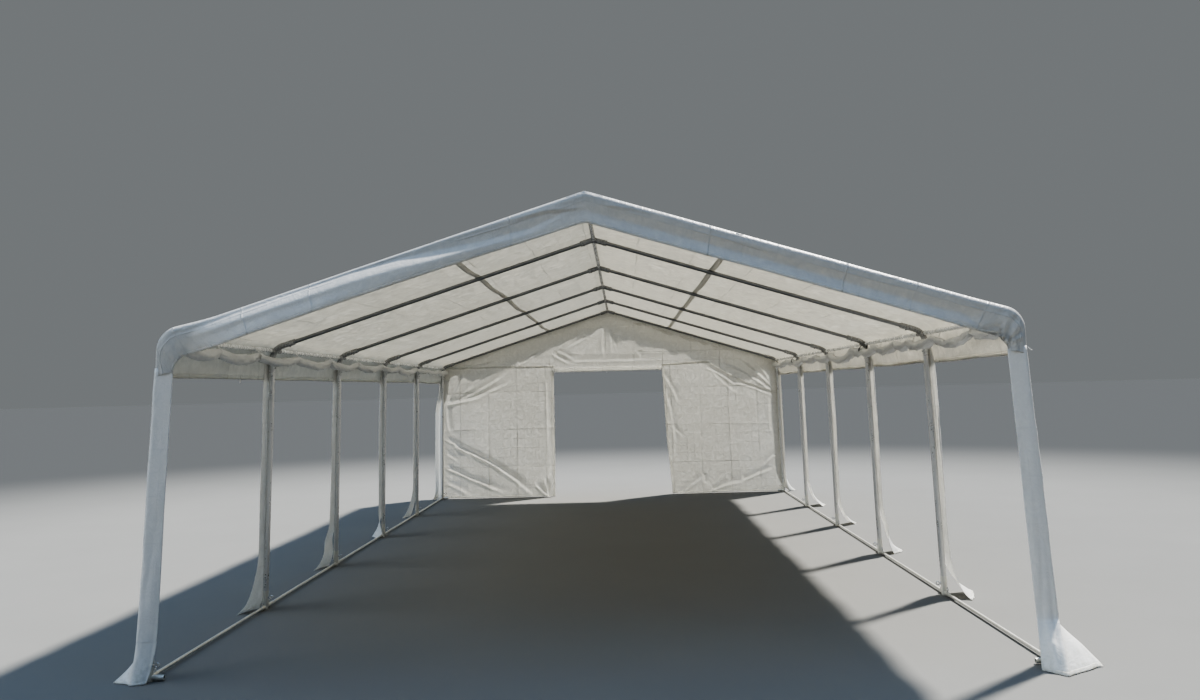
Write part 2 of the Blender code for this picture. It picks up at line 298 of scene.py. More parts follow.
def buildWeave():
    # flat tapes woven over and under each other
    group, wires, given, target = makeGroup("clothWeave", {"Flat": None, "Tapes": 380.0}, ("Height", "Tint"))
    flat = wires.split(given["Flat"])
    waves = [wires.math("SINE", wires.times(way, given["Tapes"], 2 * pi)) for way in (flat[0], flat[1])]
    threads = [wires.noise(wires.stretch(given["Flat"], scale), 1.0, 2.0)
               for scale in ((160.0, 6.0, 1.0), (6.0, 160.0, 1.0))]
    wires.feed(target, {"Height": wires.spread(wires.times(*waves), -1.0, 1.0),
                        "Tint": wires.times(wires.add(*threads), 0.5)})
    return group


def buildPackingFolds():
    # the grid of creases that cloth keeps from being folded up
    group, wires, given, target = makeGroup(
        "packingFolds", {"Flat": None, "Across": 0.5, "Along": 0.63, "Shift": 0.0, "Width": 0.012},
        ("Height", "Line"))
    flat = wires.split(given["Flat"])
    wobble = wires.noise(given["Flat"], 2.3, 2.0)
    wobble = wires.times(wires.math("SUBTRACT", wobble, 0.5), 0.035)
    lines = []
    for place, spacing in zip(flat, ("Across", "Along")):
        moved = wires.add(place, wobble, given["Shift"])
        nearest = wires.math("PINGPONG", moved, wires.times(given[spacing], 0.5))
        lines.append(wires.spread(nearest, 0.0, given["Width"], 1.0, 0.0))
    patches = wires.noise(given["Flat"], 1.7, 2.0)
    strength = wires.spread(patches, 0.38, 0.62, 0.1, 1.0)
    line = wires.times(wires.math("MAXIMUM", *lines), strength)
    wires.feed(target, {"Line": line, "Height": wires.math("POWER", line, 1.6)})
    return group


def buildCrumple():
    # small sharp wrinkles of coated sheet
    group, wires, given, target = makeGroup(
        "clothCrumple", {"Flat": None, "Scale": 7.0}, ("Height", "Mottle"))
    ridges = []
    for factor, share in ((1.0, 1.0), (2.7, 0.45), (6.1, 0.2)):
        field = wires.noise(given["Flat"], wires.times(given["Scale"], factor), 2.0, 0.55, 0.6)
        ridge = wires.math("ABSOLUTE", wires.math("SUBTRACT", field, 0.5))
        ridges.append(wires.times(wires.spread(ridge, 0.0, 0.22, 1.0, 0.0), share))
    mottle = wires.noise(given["Flat"], wires.times(given["Scale"], 1.9), 5.0, 0.7, 0.4)
    wires.feed(target, {"Height": wires.times(wires.add(*ridges), 0.6),
                        "Mottle": wires.spread(mottle, 0.36, 0.66)})
    return group


def buildDirt():
    # splashes and grass marks near the ground, and faint grey patches above
    group, wires, given, target = makeGroup(
        "clothDirt", {"Place": None, "Splash": 0.25}, ("Splashes", "Patches"))
    low = wires.spread(wires.split(given["Place"])[2], 0.0, given["Splash"], 1.0, 0.0)
    spots = wires.spread(wires.noise(given["Place"], 38.0, 4.0, 0.6), 0.42, 0.7)
    patches = wires.noise(given["Place"], 1.3, 4.0, 0.55)
    wires.feed(target, {"Splashes": wires.times(wires.math("POWER", low, 2.0), spots),
                        "Patches": wires.spread(patches, 0.35, 0.7)})
    return group


def buildZinc():
    # the cloudy crystals and drawn streaks of galvanised tube
    group, wires, given, target = makeGroup(
        "zincCoat", {"Place": None, "Crystals": 90.0}, ("Shade", "Rough", "Height"))
    cells = wires.node("TexVoronoi", {"Vector": given["Place"], "Scale": given["Crystals"]})
    tone = wires.split(cells.outputs["Color"])[0]
    cloud = wires.noise(given["Place"], 6.0, 4.0, 0.6)
    streak = wires.noise(wires.stretch(given["Place"], (60.0, 60.0, 2.5)), 1.0, 3.0)
    shade = wires.add(wires.times(tone, 0.12), wires.times(cloud, 0.50), wires.times(streak, 0.38))
    wires.feed(target, {"Shade": shade, "Rough": wires.spread(shade, 0.25, 0.75),
                        "Height": wires.add(wires.times(tone, 0.15), streak)})
    return group


weaveGroup = buildWeave()
foldsGroup = buildPackingFolds()
crumpleGroup = buildCrumple()
dirtGroup = buildDirt()
zincGroup = buildZinc()
print("node groups made")


# Materials
def newMaterial(name):
    material = bpy.data.materials.new(name)
    material.use_nodes = True
    wires = Wires(material.node_tree)
    place = wires.node("TexCoord").outputs["Object"]
    return material, wires, material.node_tree.nodes["Principled BSDF"], place


def clothMaterial(name, baseLook, **changes):
    look = {**baseLook, **changes}
    material, wires, shader, place = newMaterial(name)
    flat = wires.node("UVMap", uv_map="flatCloth").outputs[0]
    weave = wires.use(weaveGroup, {"Flat": flat, "Tapes": look["tapes"]})
    # the packing folds, and a finer set between them
    folds, fine = (wires.use(foldsGroup, {
        "Flat": flat, "Across": look["foldAcross"] / parts, "Along": look["foldAlong"] / parts,
        "Shift": look["foldShift"], "Width": look["foldWidth"] * width})
        for parts, width in ((1, 1.0), (4, 0.7)))
    crumple = wires.use(crumpleGroup, {"Flat": flat, "Scale": look["crumpleScale"]})
    dirt = wires.use(dirtGroup, {"Place": place, "Splash": look["splash"]})
    colour = look["colour"]
    for label, mask in (("patch", dirt["Patches"]), ("line", folds["Line"]), ("tint", weave["Tint"]),
                        ("dirt", dirt["Splashes"])):
        colour = wires.tint(wires.times(mask, look[label + "Share"]), colour, look[label + "Colour"])
    rough = wires.spread(crumple["Height"], 0.0, 1.0, *look["roughness"])
    heights = (("crumple", crumple), ("fold", folds), ("fine", fine), ("weave", weave))
    height = wires.add(*(wires.times(part["Height"], look[label + "Height"]) for label, part in heights))
    normal = wires.bump(height, 0.8, 0.001)
    wires.feed(shader, {
        "Base Color": colour, "Roughness": wires.add(rough, wires.times(dirt["Splashes"], 0.3)),
        "Specular IOR Level": look["specular"], "Normal": normal})
    # painted shade: the light that comes through is darkened along the packing creases and on the wrinkles'
    # ridges; the mottle adds random tone
    marks = ((folds["Line"], look["lineThrough"]), (fine["Line"], look["lineThrough"] * 0.45),
             (crumple["Height"], look["crumpleThrough"]), (crumple["Mottle"], look["mottleThrough"]))
    marks = wires.add(*(wires.times(*mark) for mark in marks))
    tone = wires.tint(marks, look["throughColour"], look["throughLine"])
    through = wires.node("BsdfTranslucent", {"Color": tone, "Normal": normal})
    mix = wires.node("MixShader", {0: look["through"], 1: shader.outputs[0], 2: through.outputs[0]})
    wires.feed(material.node_tree.nodes["Material Output"], {"Surface": mix.outputs[0]})
    return material


clothLook = {
    "colour": (0.86, 0.865, 0.86, 1),
    "patchColour": (0.80, 0.80, 0.78, 1),
    "patchShare": 0.5,
    "lineColour": (0.90, 0.90, 0.89, 1),
    "lineShare": 0.35,
    "tintColour": (0.74, 0.74, 0.73, 1),
    "tintShare": 0.35,
    "dirtColour": (0.30, 0.30, 0.18, 1),
    "dirtShare": 0.55,
    "roughness": (0.27, 0.40),
    "specular": 0.5,
    "tapes": 380.0,          # of the weave, in a metre
    "foldAcross": 0.5,
    "foldAlong": 0.63,
    "foldShift": 0.07,
    "foldWidth": 0.012,
    "crumpleScale": 7.0,
    "crumpleHeight": 2.6,    # these four in millimetres
    "foldHeight": 2.2,
    "fineHeight": 0.8,
    "weaveHeight": 0.10,
    "lineThrough": 0.42,     # how much these three tint the light that comes through: painted shade along the creases and on the wrinkles' ridges, and random mottle
    "crumpleThrough": 0.75,
    "mottleThrough": 0.10,
    "splash": 0.25,
    "through": 0.455,
    "throughColour": (0.93, 0.915, 0.86, 1),
    "throughLine": (0.64, 0.63, 0.59, 1),
}
coverLook = {
    **clothLook, "through": 0.55, "specular": 0.9, "mottleThrough": 0.45, "foldHeight": 4.5,
    "crumpleHeight": 4.5, "throughColour": (0.76, 0.735, 0.665, 1), "throughLine": (0.50, 0.485, 0.435, 1)}
plainLook = {"foldHeight": 0.0, "lineShare": 0.0}
# painted light: hem bands let nearly all light through, in a whiter tone than the sheet, so the doubled cloth
# looks no darker than the single sheet
hemLook = {**plainLook, "through": 0.96, "crumpleThrough": 0.0, "mottleThrough": 0.0}
coverCloth = clothMaterial("coverCloth", coverLook)
wallCloth = clothMaterial(
    "wallCloth", clothLook, lineShare=0.75, foldHeight=6.0, crumpleScale=9.0, crumpleHeight=6.5,
    fineHeight=4.5, lineThrough=0.36, crumpleThrough=0.8, foldWidth=0.018, foldAcross=0.51, foldAlong=0.65,
    foldShift=0.0, through=0.475, throughColour=(0.95, 0.94, 0.89, 1), splash=0.18)
stripLook = {**clothLook, "lineShare": 0.2, "crumpleScale": 11.0, "crumpleHeight": 2.4}
legCloth = clothMaterial("legCloth", stripLook, splash=0.30, through=0.36)
# painted light: the strips' cloth is the leg covers' cloth made brighter, letting more light through in a
# whiter tone
stripCloth = clothMaterial(
    "stripCloth", stripLook, splash=0.16, through=0.46, throughColour=(0.97, 0.96, 0.93, 1))
rollCloth = clothMaterial(
    "rollCloth", clothLook, crumpleScale=16.0, crumpleHeight=6.0, through=0.25, foldHeight=0.4)
seamCloth = clothMaterial(
    "seamCloth", {**coverLook, **plainLook}, crumpleScale=18.0, crumpleHeight=1.6, through=0.58)
hemCloth = clothMaterial(
    "hemCloth", {**coverLook, **hemLook}, crumpleScale=18.0, crumpleHeight=1.6,
    throughColour=(1.0, 0.995, 0.98, 1))
wallHemCloth = clothMaterial(
    "wallHemCloth", {**clothLook, **hemLook}, crumpleScale=14.0, crumpleHeight=2.2,
    throughColour=(1.0, 0.998, 0.985, 1))


def steelMaterial(name, **changes):
    look = {**steelLook, **changes}
    material, wires, shader, place = newMaterial(name)
    zinc = wires.use(zincGroup, {"Place": place, "Crystals": look["crystals"]})
    colour = wires.tint(zinc["Shade"], look["dark"], look["light"])
    spot = wires.split(place)
    ground = wires.spread(spot[2], 0.0, look["soilReach"], 1.0, 0.0)
    soil = wires.times(ground, wires.spread(wires.noise(place, 45.0, 4.0, 0.6), 0.4, 0.65), look["soilShare"])
    # painted shade: the steel turns to a dark colour above given heights, as if in the cover's shade, and so
    # do the fittings round each portal, more the higher they stand, while the rails between them stay light
    fromPortal = wires.math("PINGPONG", wires.add(spot[1], 1.0), 1.0)
    joint = wires.spread(fromPortal, look["dullJoint"], look["dullJoint"] + 0.001, 1.0, 0.0)
    joint = wires.times(joint, wires.spread(spot[2], 2.18, 2.28, 0.35, 0.9))
    dull = wires.math("MAXIMUM", wires.spread(spot[2], *look["dullFrom"]), joint)
    rough = wires.spread(zinc["Rough"], 0.0, 1.0, *look["roughness"])
    wires.feed(shader, {
        "Base Color": wires.tint(soil, wires.tint(dull, colour, look["dull"]), look["soil"]),
        "Metallic": wires.spread(soil, 0.0, 1.0, look["metallic"], 0.2),
        "Roughness": wires.add(rough, wires.times(soil, 0.35)),
        "Normal": wires.bump(zinc["Height"], 0.25, 0.0003)})
    return material


steelLook = {
    "dark": (0.34, 0.35, 0.36, 1),
    "light": (0.66, 0.67, 0.68, 1),
    "roughness": (0.30, 0.48),
    "metallic": 0.92,
    "crystals": 90.0,
    # painted shade: the dark colour the steel takes under the cover
    "dull": (0.20, 0.205, 0.21, 1),
    "dullFrom": (2.26, 2.34),    # heights between which painted shade darkens it
    "dullJoint": -0.01,          # reach of the painted shade on the fittings along a rail
    "soil": (0.16, 0.14, 0.10, 1),
    "soilReach": 0.10,
    "soilShare": 0.6,
}
# painted shade on the ridge rail above 2.9 m and on the eave fittings round each portal
railSteel = steelMaterial(
    "railSteel", dark=(0.78, 0.78, 0.78, 1), light=(0.95, 0.95, 0.94, 1), metallic=0.3,
    roughness=(0.20, 0.34), dullFrom=(2.9, 3.1), dullJoint=0.11)
boltSteel = steelMaterial(
    "boltSteel", dark=(0.55, 0.56, 0.57, 1), light=(0.80, 0.80, 0.80, 1), roughness=(0.18, 0.30),
    crystals=300.0)
coats = {
    "post": steelMaterial(
        "postSteel", dark=(0.48, 0.49, 0.50, 1), light=(0.78, 0.78, 0.78, 1), roughness=(0.24, 0.36),
        metallic=0.75),
    # the rafters' steel, with painted shade from 2.12 m up
    "rafter": steelMaterial(
        "rafterSteel", dark=(0.50, 0.51, 0.52, 1), light=(0.70, 0.70, 0.70, 1), roughness=(0.28, 0.42),
        dullFrom=(2.12, 2.26)),
    "ridge": railSteel,
    "eave": railSteel,
    "ground": steelMaterial(
        "groundSteel", dark=(0.60, 0.60, 0.56, 1), light=(0.84, 0.83, 0.78, 1), soilReach=0.05,
        soilShare=0.5),
}
for nodeName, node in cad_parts.items():
    coat = coats.get(nodeName.split("_")[0])
    for holder in node.material_slots if coat else ():
        holder.material = coat


def webbingMaterial(name, colour, second):
    material, wires, shader, place = newMaterial(name)
    ribs = wires.node("TexWave", {"Vector": place, "Scale": 180.0, "Distortion": 0.6}, bands_direction="Z")
    worn = wires.noise(place, 60.0, 3.0)
    wires.feed(shader, {
        "Base Color": wires.tint(worn, colour, second), "Roughness": wires.spread(worn, 0.3, 0.7, 0.65, 0.85),
        "Normal": wires.bump(ribs.outputs["Fac"], 0.5, 0.0004)})
    return material


blackWebbing = webbingMaterial("blackWebbing", (0.02, 0.02, 0.022, 1), (0.05, 0.05, 0.052, 1))
whiteWebbing = webbingMaterial("whiteWebbing", (0.78, 0.78, 0.76, 1), (0.66, 0.66, 0.64, 1))
print("materials made")


def dress(item, material):
    item.data.materials.clear()
    item.data.materials.append(material)
    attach(item, "root")
    return item


# Cover: one sheet over the whole frame
cover = {
    "lift": 0.0294,          # middle of the cloth above the rafters' axes, at a portal
    "slopeColumns": 72,
    "bendColumns": 9,
    "dropColumns": 7,
    "rowStep": 0.065,
    "edge": 5.0345,          # plane of the gable valances
    "wrap": 0.046,           # round where the roof turns down into a gable valance
    "wrapRows": 6,
    "bandRows": 22,
    "railSag": 0.0075,       # between two portals, where a rail carries the cloth
    "slopeSag": 0.016,
    "softHeight": 0.0110,    # of the cloth's slack between portals
    "slantWidth": 0.060,
    "slantHeight": 0.013,
    "valanceDepth": 0.24,
    "fillet": 0.12,
    "legFace": 0.142,
    "cornerHem": 2.052,
    # the front valance from left to right: where it turns from the fold over the rafter to hanging
    # down, as a share of its depth, how far it steps out there, and how far its hem kicks out
    "crest": ((-3.0, 0.32), (-2.3, 0.45), (-1.7, 0.50), (-1.34, 0.57), (-1.0, 0.68), (-0.66, 0.72),
              (-0.4, 0.80), (-0.1, 0.50), (0.3, 0.12), (3.0, 0.12)),
    "reach": ((-3.0, 0.30), (-2.3, 0.42), (-1.7, 0.46), (-1.34, 0.46), (-1.0, 0.38), (-0.66, 0.26),
              (0.0, 0.20), (3.0, 0.20)),
    "shoulder": ((-3.0, 0.004), (-2.75, 0.030), (-2.5, 0.072), (-2.2, 0.096), (-1.7, 0.102), (-1.34, 0.100),
                 (-1.0, 0.088), (-0.66, 0.058), (-0.36, 0.022), (0.0, 0.004), (0.3, 0.0), (3.0, 0.0)),
    "kick": ((-3.0, 0.0), (-2.75, 0.010), (-2.4, 0.046), (-1.6, 0.040), (-0.9, 0.006), (-0.3, 0.016),
             (0.3, 0.030), (1.0, 0.042), (2.4, 0.042), (3.0, 0.0)),
    "pinchIn": ((-3.0, 0.0), (-0.2, 0.0), (0.4, 0.012), (2.4, 0.014), (2.9, 0.0)),
    # slanting folds of a bay: run from the ridge and place in the bay, at each end
    "slants": ((2.80, 2.05, 0.22, 0.85), (2.75, 2.20, 1.80, 1.25), (0.20, 0.85, 0.20, 0.95),
               (0.30, 1.05, 1.82, 1.35)),
    # how far the hem of the back valance stands off the wall
    "standOff": ((-2.85, 0.034), (-2.53, 0.010), (-2.26, 0.045), (-2.0, 0.026), (-1.56, 0.020),
                 (-1.17, 0.028), (-0.8, 0.014), (-0.07, 0.003), (0.0, 0.020), (0.05, 0.043), (0.27, 0.052),
                 (0.75, 0.043),
                 (1.37, 0.030), (1.87, 0.030), (2.17, 0.042), (2.45, 0.075), (2.75, 0.085)),
    "bandFolds": (((0.16, 3.15), (0.62, 3.06), 0.011, 0.010), ((-0.05, 3.13), (-0.55, 3.05), 0.011, 0.009),
                  ((-0.62, 2.95), (-1.35, 2.80), 0.014, 0.006), ((0.9, 2.90), (1.5, 2.70), 0.016, 0.004)),
    # folds round the tied corners: centre, folds in a turn, reach, height, seed and the angles between
    "cornerStars": (((2.845, 2.085), 15, 0.26, 0.018, 71, 0.1, 3.0),
                    ((-2.86, 2.11), 8, 0.15, 0.010, 73, 0.2, 2.9)),
    "hemWidth": 0.034,
    "bandHemWidth": 0.022,
    "seamFromRidge": 1.142,  # along the slope
    "seamWidth": 0.052,
    "seamThickness": 0.0026,
    "leanOut": (0.027, 0.004),    # of the left and the right side valance at the front
}


def bentSection(top, centre, radius, foot):
    # half of a section: from the ridge down the slope, round the bend and straight down to its foot
    slope = np.linspace(0, 1, cover["slopeColumns"], endpoint=False)[:, None]
    turn = (pi / 2 - pitch) * (1 - np.linspace(0, 1, cover["bendColumns"], endpoint=False))
    drop = np.linspace(0, 1, cover["dropColumns"] + 1)
    centre = np.array(centre)
    start = np.array([0.0, top])
    end = centre + radius * np.array([sin(pitch), cos(pitch)])
    arch = beside(np.cos(turn), np.sin(turn))
    away = np.concatenate([np.tile([sin(pitch), cos(pitch)], (len(slope), 1)), arch,
                           np.tile([1.0, 0.0], (len(drop), 1))])
    away[0] = (0, 1)
    line = np.concatenate([start + (end - start) * slope, centre + radius * arch,
                           beside(centre[0] + radius, centre[1] + (foot - centre[1]) * drop)])
    return line, away


def mirrored(half):
    # left half first, then the right half without the ridge's point again
    return np.concatenate([half[:0:-1] * np.array([-1.0, 1.0]), half])


def roofPoints():
    line, away = bentSection(tent["ridge"] + cover["lift"] / cos(pitch), (bendX, bendZ),
                             tent["bend"] + cover["lift"], tent["sideHem"])
    line[0, 1] -= 0.002
    arc = np.concatenate([[0], np.cumsum(np.hypot(*np.diff(line, axis=0).T))])
    full = mirrored(line)
    away = mirrored(away)
    across = np.concatenate([-arc[:0:-1], arc])
    flatEnd = cover["edge"] - cover["wrap"]
    rowCount = int(round(2 * flatEnd / cover["rowStep"])) + 1
    s, y = np.meshgrid(across, np.linspace(-flatEnd, flatEnd, rowCount))
    sideSign = np.sign(s)
    run = np.abs(s)
    bay = (y + halfLength) / tent["bay"]
    inBay = np.clip(bay, 0, tent["bays"]) % 1.0
    hammock = np.where((bay < 0) | (bay > tent["bays"]), 0, 4 * inBay * (1 - inBay))
    middle = np.sin(pi * np.clip(run / slopeLength, 0, 1)) ** 0.8
    sag = cover["railSag"] * hammock + cover["slopeSag"] * hammock * middle
    sag = sag * (1 - smooth(run, slopeLength + 0.05, slopeLength + 0.19))
    soft = cover["softHeight"] * layeredNoise(s * 2.1, y * 1.4, 11) * np.minimum(hammock * 2, 1)
    pull = cover["softHeight"] * layeredNoise(s * 5.5, y * 1.1, 17, 2) * hammock
    # slanting folds in each bay, from the eave's and the ridge's joints towards its middle
    slants = 0
    for number, bayStart in enumerate(portals[:-1]):
        for sideways in (-1, 1):
            for turn, (fromRun, toRun, fromY, toY) in enumerate(cover["slants"]):
                shift = 0.12 * float(noise(number * 3.7 + sideways, turn * 2.3, 19))
                slants = slants + foldLine(
                    s, y, (sideways * (fromRun + shift), bayStart + fromY),
                    (sideways * (toRun + shift), bayStart + toY - shift),
                    cover["slantWidth"], cover["slantHeight"] + 0.05 * abs(shift))
    # folds that run in from each eave joint
    pinch = 0
    for portal in portals:
        for corner in (-slopeLength - 0.1, slopeLength + 0.1):
            pinch = pinch + starFolds(s, y, (corner, portal), 9, 0.42, 0.010, 23 + int(portal), -9, 9)
    packing = 0
    for place, steps, cell, height, width in ((s, np.arange(-3.4, 3.5, 0.5), 0.5, 0.0030, 0.030),
                                              (y, np.arange(-4.8, 5.0, 0.63), 0.63, 0.0026, 0.035)):
        for step in steps:
            upward = 1 if int(step / cell) % 2 else -1
            packing = packing + height * np.exp(-np.abs(place - step) / width) * upward
    push = -sag + soft + pull + (pinch + packing + slants) * np.minimum(hammock * 3, 1)
    # the side valances hang free below the eave
    hanging = smooth(run, slopeLength + 0.16, slopeLength + 0.37)
    held = smooth(np.abs(y), halfLength - 0.05, halfLength - 0.4)
    waves = 0.5 + 0.5 * layeredNoise(y * 1.5 + sideSign * 7, run * 0.8, 31, 2)
    flutter = 0.010 * (1 + layeredNoise(y * 4.3, run * 2.0 + sideSign, 37, 2))
    diagonal = 0.009 * (1 + layeredNoise(y * 3.2 + run * 5.0 * sideSign, run * 2.5 - y, 41, 2))
    push = push + hanging * held * (0.020 * waves + flutter + diagonal)
    push = push + 0.004 * smooth(run, slopeLength + 0.1, slopeLength + 0.2) * held * waves
    leanLeft, leanRight = cover["leanOut"]
    loose = np.where(s < 0, leanLeft, leanRight) * smooth(run, slopeLength - 0.3, slopeLength + 0.15)
    push = push + loose * (1 - smooth(y, -flatEnd, -flatEnd + 0.9))
    hemWave = 0.007 * noise(y * 1.3 + sideSign * 5, y * 0, 43) * held
    points = beside(full[:, 0] + away[:, 0] * push, y,
                    full[:, 1] + away[:, 1] * push + smooth(run, arc[-1] - 0.19, arc[-1]) * hemWave)
    return points, beside(s, y), full, across


def bandPoints(end, full, across, edgeRow):
    # a gable valance, from the fold over the end rafters down to its hem
    wide = np.abs(full[:, 0])
    depth = cover["valanceDepth"] + 0.004 * lineNoise(across * 1.1, 51 + end)
    if end > 0:
        depth = depth + 0.010 * layeredNoise(across * 4.1, across * 0, 53, 2)
    # its hem, matched point by point to the section above it
    hemTop = tent["ridge"] + cover["lift"] / cos(pitch) - cover["valanceDepth"]
    side = halfSpan + cover["lift"] - cover["legFace"]
    centreZ = hemTop - side * tan(pitch) - cover["fillet"] * tan((pi / 2 - pitch) / 2)
    hem = bentSection(hemTop, (side - cover["fillet"], centreZ), cover["fillet"], cover["cornerHem"])[0]
    hem = mirrored(hem)
    hem[:, 1] += (cover["valanceDepth"] - depth) * (1 - smooth(wide, 2.6, 2.9))
    down = hem - full
    length = np.hypot(*down.T)
    down = down / length[:, None]
    onSlope = 1 - smooth(wide, 2.72, 2.90)
    rows = []
    uvRows = []
    # where the valance steps out, the fold over the rafter turns less far down
    flat = lineAt(cover["shoulder"], edgeRow[:, 0]) / 0.1 if end < 0 else 0 * wide
    for step in range(1, cover["wrapRows"] + 1):
        turn = pi / 2 * (1 - 0.42 * flat) * step / cover["wrapRows"]
        drop = cover["wrap"] * (1 - np.cos(turn))
        rows.append(beside(edgeRow[:, 0] + down[:, 0] * drop,
                           end * (cover["edge"] - cover["wrap"] + cover["wrap"] * np.sin(turn)),
                           edgeRow[:, 2] + down[:, 1] * drop))
        uvRows.append(beside(across, end * (cover["edge"] + drop)))
    last = rows[-1]
    for number in range(1, cover["bandRows"] + 1):
        share = number / cover["bandRows"]
        run = share * (length - drop)
        x = last[:, 0] + down[:, 0] * run
        z = last[:, 2] + down[:, 1] * run
        kick = lineAt(cover["kick"], x) * smooth(share, 0.46, 1.0) * onSlope
        kick = kick - lineAt(cover["pinchIn"], x) * np.exp(-((share - 0.48) / 0.24) ** 2) * onSlope
        ahead = share - lineAt(cover["crest"], x)
        rising = np.clip(1 + ahead / lineAt(cover["reach"], x), 0, 1)
        rising = rising * (1.25 - 0.25 * rising ** 4)
        stepped = np.where(ahead < 0, np.minimum(rising, 1), np.exp(-(ahead / 1.3) ** 2))
        bulge = lineAt(cover["shoulder"], x) * stepped * onSlope * (1 if end < 0 else 0.2)
        bulge = bulge + 0.006 * sin(pi * share) * (1 - onSlope) * smooth(share, 0.0, 0.15)
        wave = 0.006 * layeredNoise(x * 1.7, share * 1.3 + end * 3, 61, 2) * share * onSlope
        folds = 0
        if end < 0:
            for fold in cover["bandFolds"]:
                folds = folds + foldLine(x, z, *fold)
            for star in cover["cornerStars"]:
                folds = folds + starFolds(x, z, *star)
            pleats = 0.004 * np.sin(95 * x + 2.5 * noise(z * 6, x * 3, 74))
            folds = folds + pleats * smooth(x, 2.80, 2.88) * smooth(z, 2.02, 2.06)
        else:
            hang = smooth(share, 0.15, 1.0) * onSlope
            jag = np.abs(noise(x * 5.3, x * 0 + 0.4 * share, 77)) - 0.25
            folds = hang * (lineAt(cover["standOff"], x) + 0.040 * jag * smooth(np.abs(x), 0.05, 0.25))
        rows.append(beside(x, last[:, 1] + end * (kick + bulge + wave + folds), z))
        uvRows.append(beside(across, end * (cover["edge"] + cover["wrap"] + run)))
    return rows, uvRows


roof, roofUv, full, across = roofPoints()
frontRows, frontUv = bandPoints(-1, full, across, roof[0])
backRows, backUv = bandPoints(1, full, across, roof[-1])
coverPoints = np.concatenate([np.array(frontRows[::-1]), roof, np.array(backRows)])
coverUv = np.concatenate([np.array(frontUv[::-1]), roofUv, np.array(backUv)])
tentCover = gridObject("tentCover", coverPoints, coverUv, sheetThickness)
dress(tentCover, coverCloth)
lastRow, lastColumn = (count - 1 for count in coverPoints.shape[:2])
print("cover made:", lastRow + 1, "x", lastColumn + 1)

# Hems and lap seams, each a band that holds the sheet between two layers: rows, columns, points and thickness
bandCount = cover["wrapRows"] + cover["bandRows"]
hemCells = cover["hemWidth"] / (bendZ - tent["sideHem"]) * cover["dropColumns"]
bandHemCells = cover["bandHemWidth"] / (cover["valanceDepth"] - cover["wrap"]) * cover["bandRows"]
slopeCell = slopeLength / cover["slopeColumns"]
seamHalf = cover["seamWidth"] / 2 / slopeCell
seams = [lastColumn // 2 + sign * cover["seamFromRidge"] / slopeCell for sign in (-1, 1)]
sideRows = (bandCount - 0.5, lastRow - bandCount + 0.5)
seamRows = (bandCount - 3.0, lastRow - bandCount + 3.0)
gableColumns = (cover["dropColumns"] + 1.0, lastColumn - 1.0 - cover["dropColumns"])
bandTable = {
    "sideHemLeft": (sideRows, (-0.02, hemCells), (150, 3), hemThickness),
    "sideHemRight": (sideRows, (lastColumn - hemCells, lastColumn + 0.02), (150, 3), hemThickness),
    "gableHemFront": ((-0.03, bandHemCells), gableColumns, (3, 170), hemThickness),
    "gableHemBack": ((lastRow - bandHemCells, lastRow + 0.03), gableColumns, (3, 170), hemThickness),
    "roofSeamLeft": (seamRows, (seams[0] - seamHalf, seams[0] + seamHalf), (180, 3), cover["seamThickness"]),
    "roofSeamRight": (seamRows, (seams[1] - seamHalf, seams[1] + seamHalf), (180, 3), cover["seamThickness"]),
}
coverBands = [patchOn(name, coverPoints, coverUv, *spec) for name, spec in bandTable.items()]
for band in coverBands:
    dress(band, seamCloth if "Seam" in band.name else hemCloth)
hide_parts("roof_left", "roof_right", "gable_valance_front", "gable_valance_back")

# Leg covers: a corner sleeve or a strip at each post, with its loose end on the ground
leg = {
    "stripWidth": 0.235,
    "stripTop": 2.185,
    "stripPlane": 3.0283,
    "sleeveSide": 0.165,
    "sleeveTop": 2.080,
    "sleevePlane": 3.0272,
    "sleeveFront": 5.0322,
    "corner": 0.026,
    "columns": 19,
    "sleeveColumns": 31,
    "rows": 52,
    "looseRows": 38,
    "ground": 0.0022,
    "hemRows": 2.4,
}
plainFoot = {"crisp": 0, "pleats": 0, "gather": 0.68, "narrow": 0, "lean": (0, 0), "bulge": 0, "curl": 0}
# how far each bottom corner is pulled in x and y from where it would hang: near edge, middle, far edge
footPulls = {
    "left": [
        {"pull": ((-0.03, -0.04), (0.0, -0.07), (-0.14, -0.17)), "rise": 0.25, "crisp": 0.6,
         "lean": (-0.027, -0.060)},
        {"pull": ((-0.14, -0.10), (-0.10, -0.10), (-0.03, -0.09)), "rise": 0.50, "gather": 0.86},
        {"pull": ((-0.11, -0.16), (-0.09, -0.14), (-0.04, -0.12)), "rise": 0.44, "bulge": 0.035,
         "gather": 0.8},
        {"pull": ((0.09, -0.08), (-0.01, -0.15), (-0.10, -0.18)), "rise": 0.30, "crisp": 0.7, "curl": 0.05},
        {"pull": ((-0.10, -0.27), (-0.08, -0.28), (-0.04, -0.22)), "rise": 0.50, "narrow": 0.5},
        {"pull": ((-0.10, -0.10), (-0.12, 0.02), (-0.10, 0.04)), "rise": 0.55, "lean": (0.0, -0.03),
         "open": True},
    ],
    "right": [
        {"pull": ((-0.05, -0.11), (-0.09, -0.27), (0.24, -0.23)), "rise": 0.29, "crisp": 1.1,
         "lean": (0.0, 0.035), "pleats": 0.008},
        {"pull": ((0.11, -0.11), (0.19, -0.07), (0.25, -0.01)), "rise": 0.40, "gather": 0.5},
        {"pull": ((0.10, 0.06), (0.22, 0.05), (0.26, 0.08)), "rise": 0.48, "bulge": 0.03},
        {"pull": ((0.22, 0.18), (0.26, 0.20), (0.24, 0.24)), "rise": 0.42, "narrow": 0.35},
        {"pull": ((0.20, 0.02), (0.25, 0.06), (0.22, 0.12)), "rise": 0.45},
        {"pull": ((0.24, 0.02), (0.22, 0.10), (0.06, 0.12)), "rise": 0.42},
    ],
}


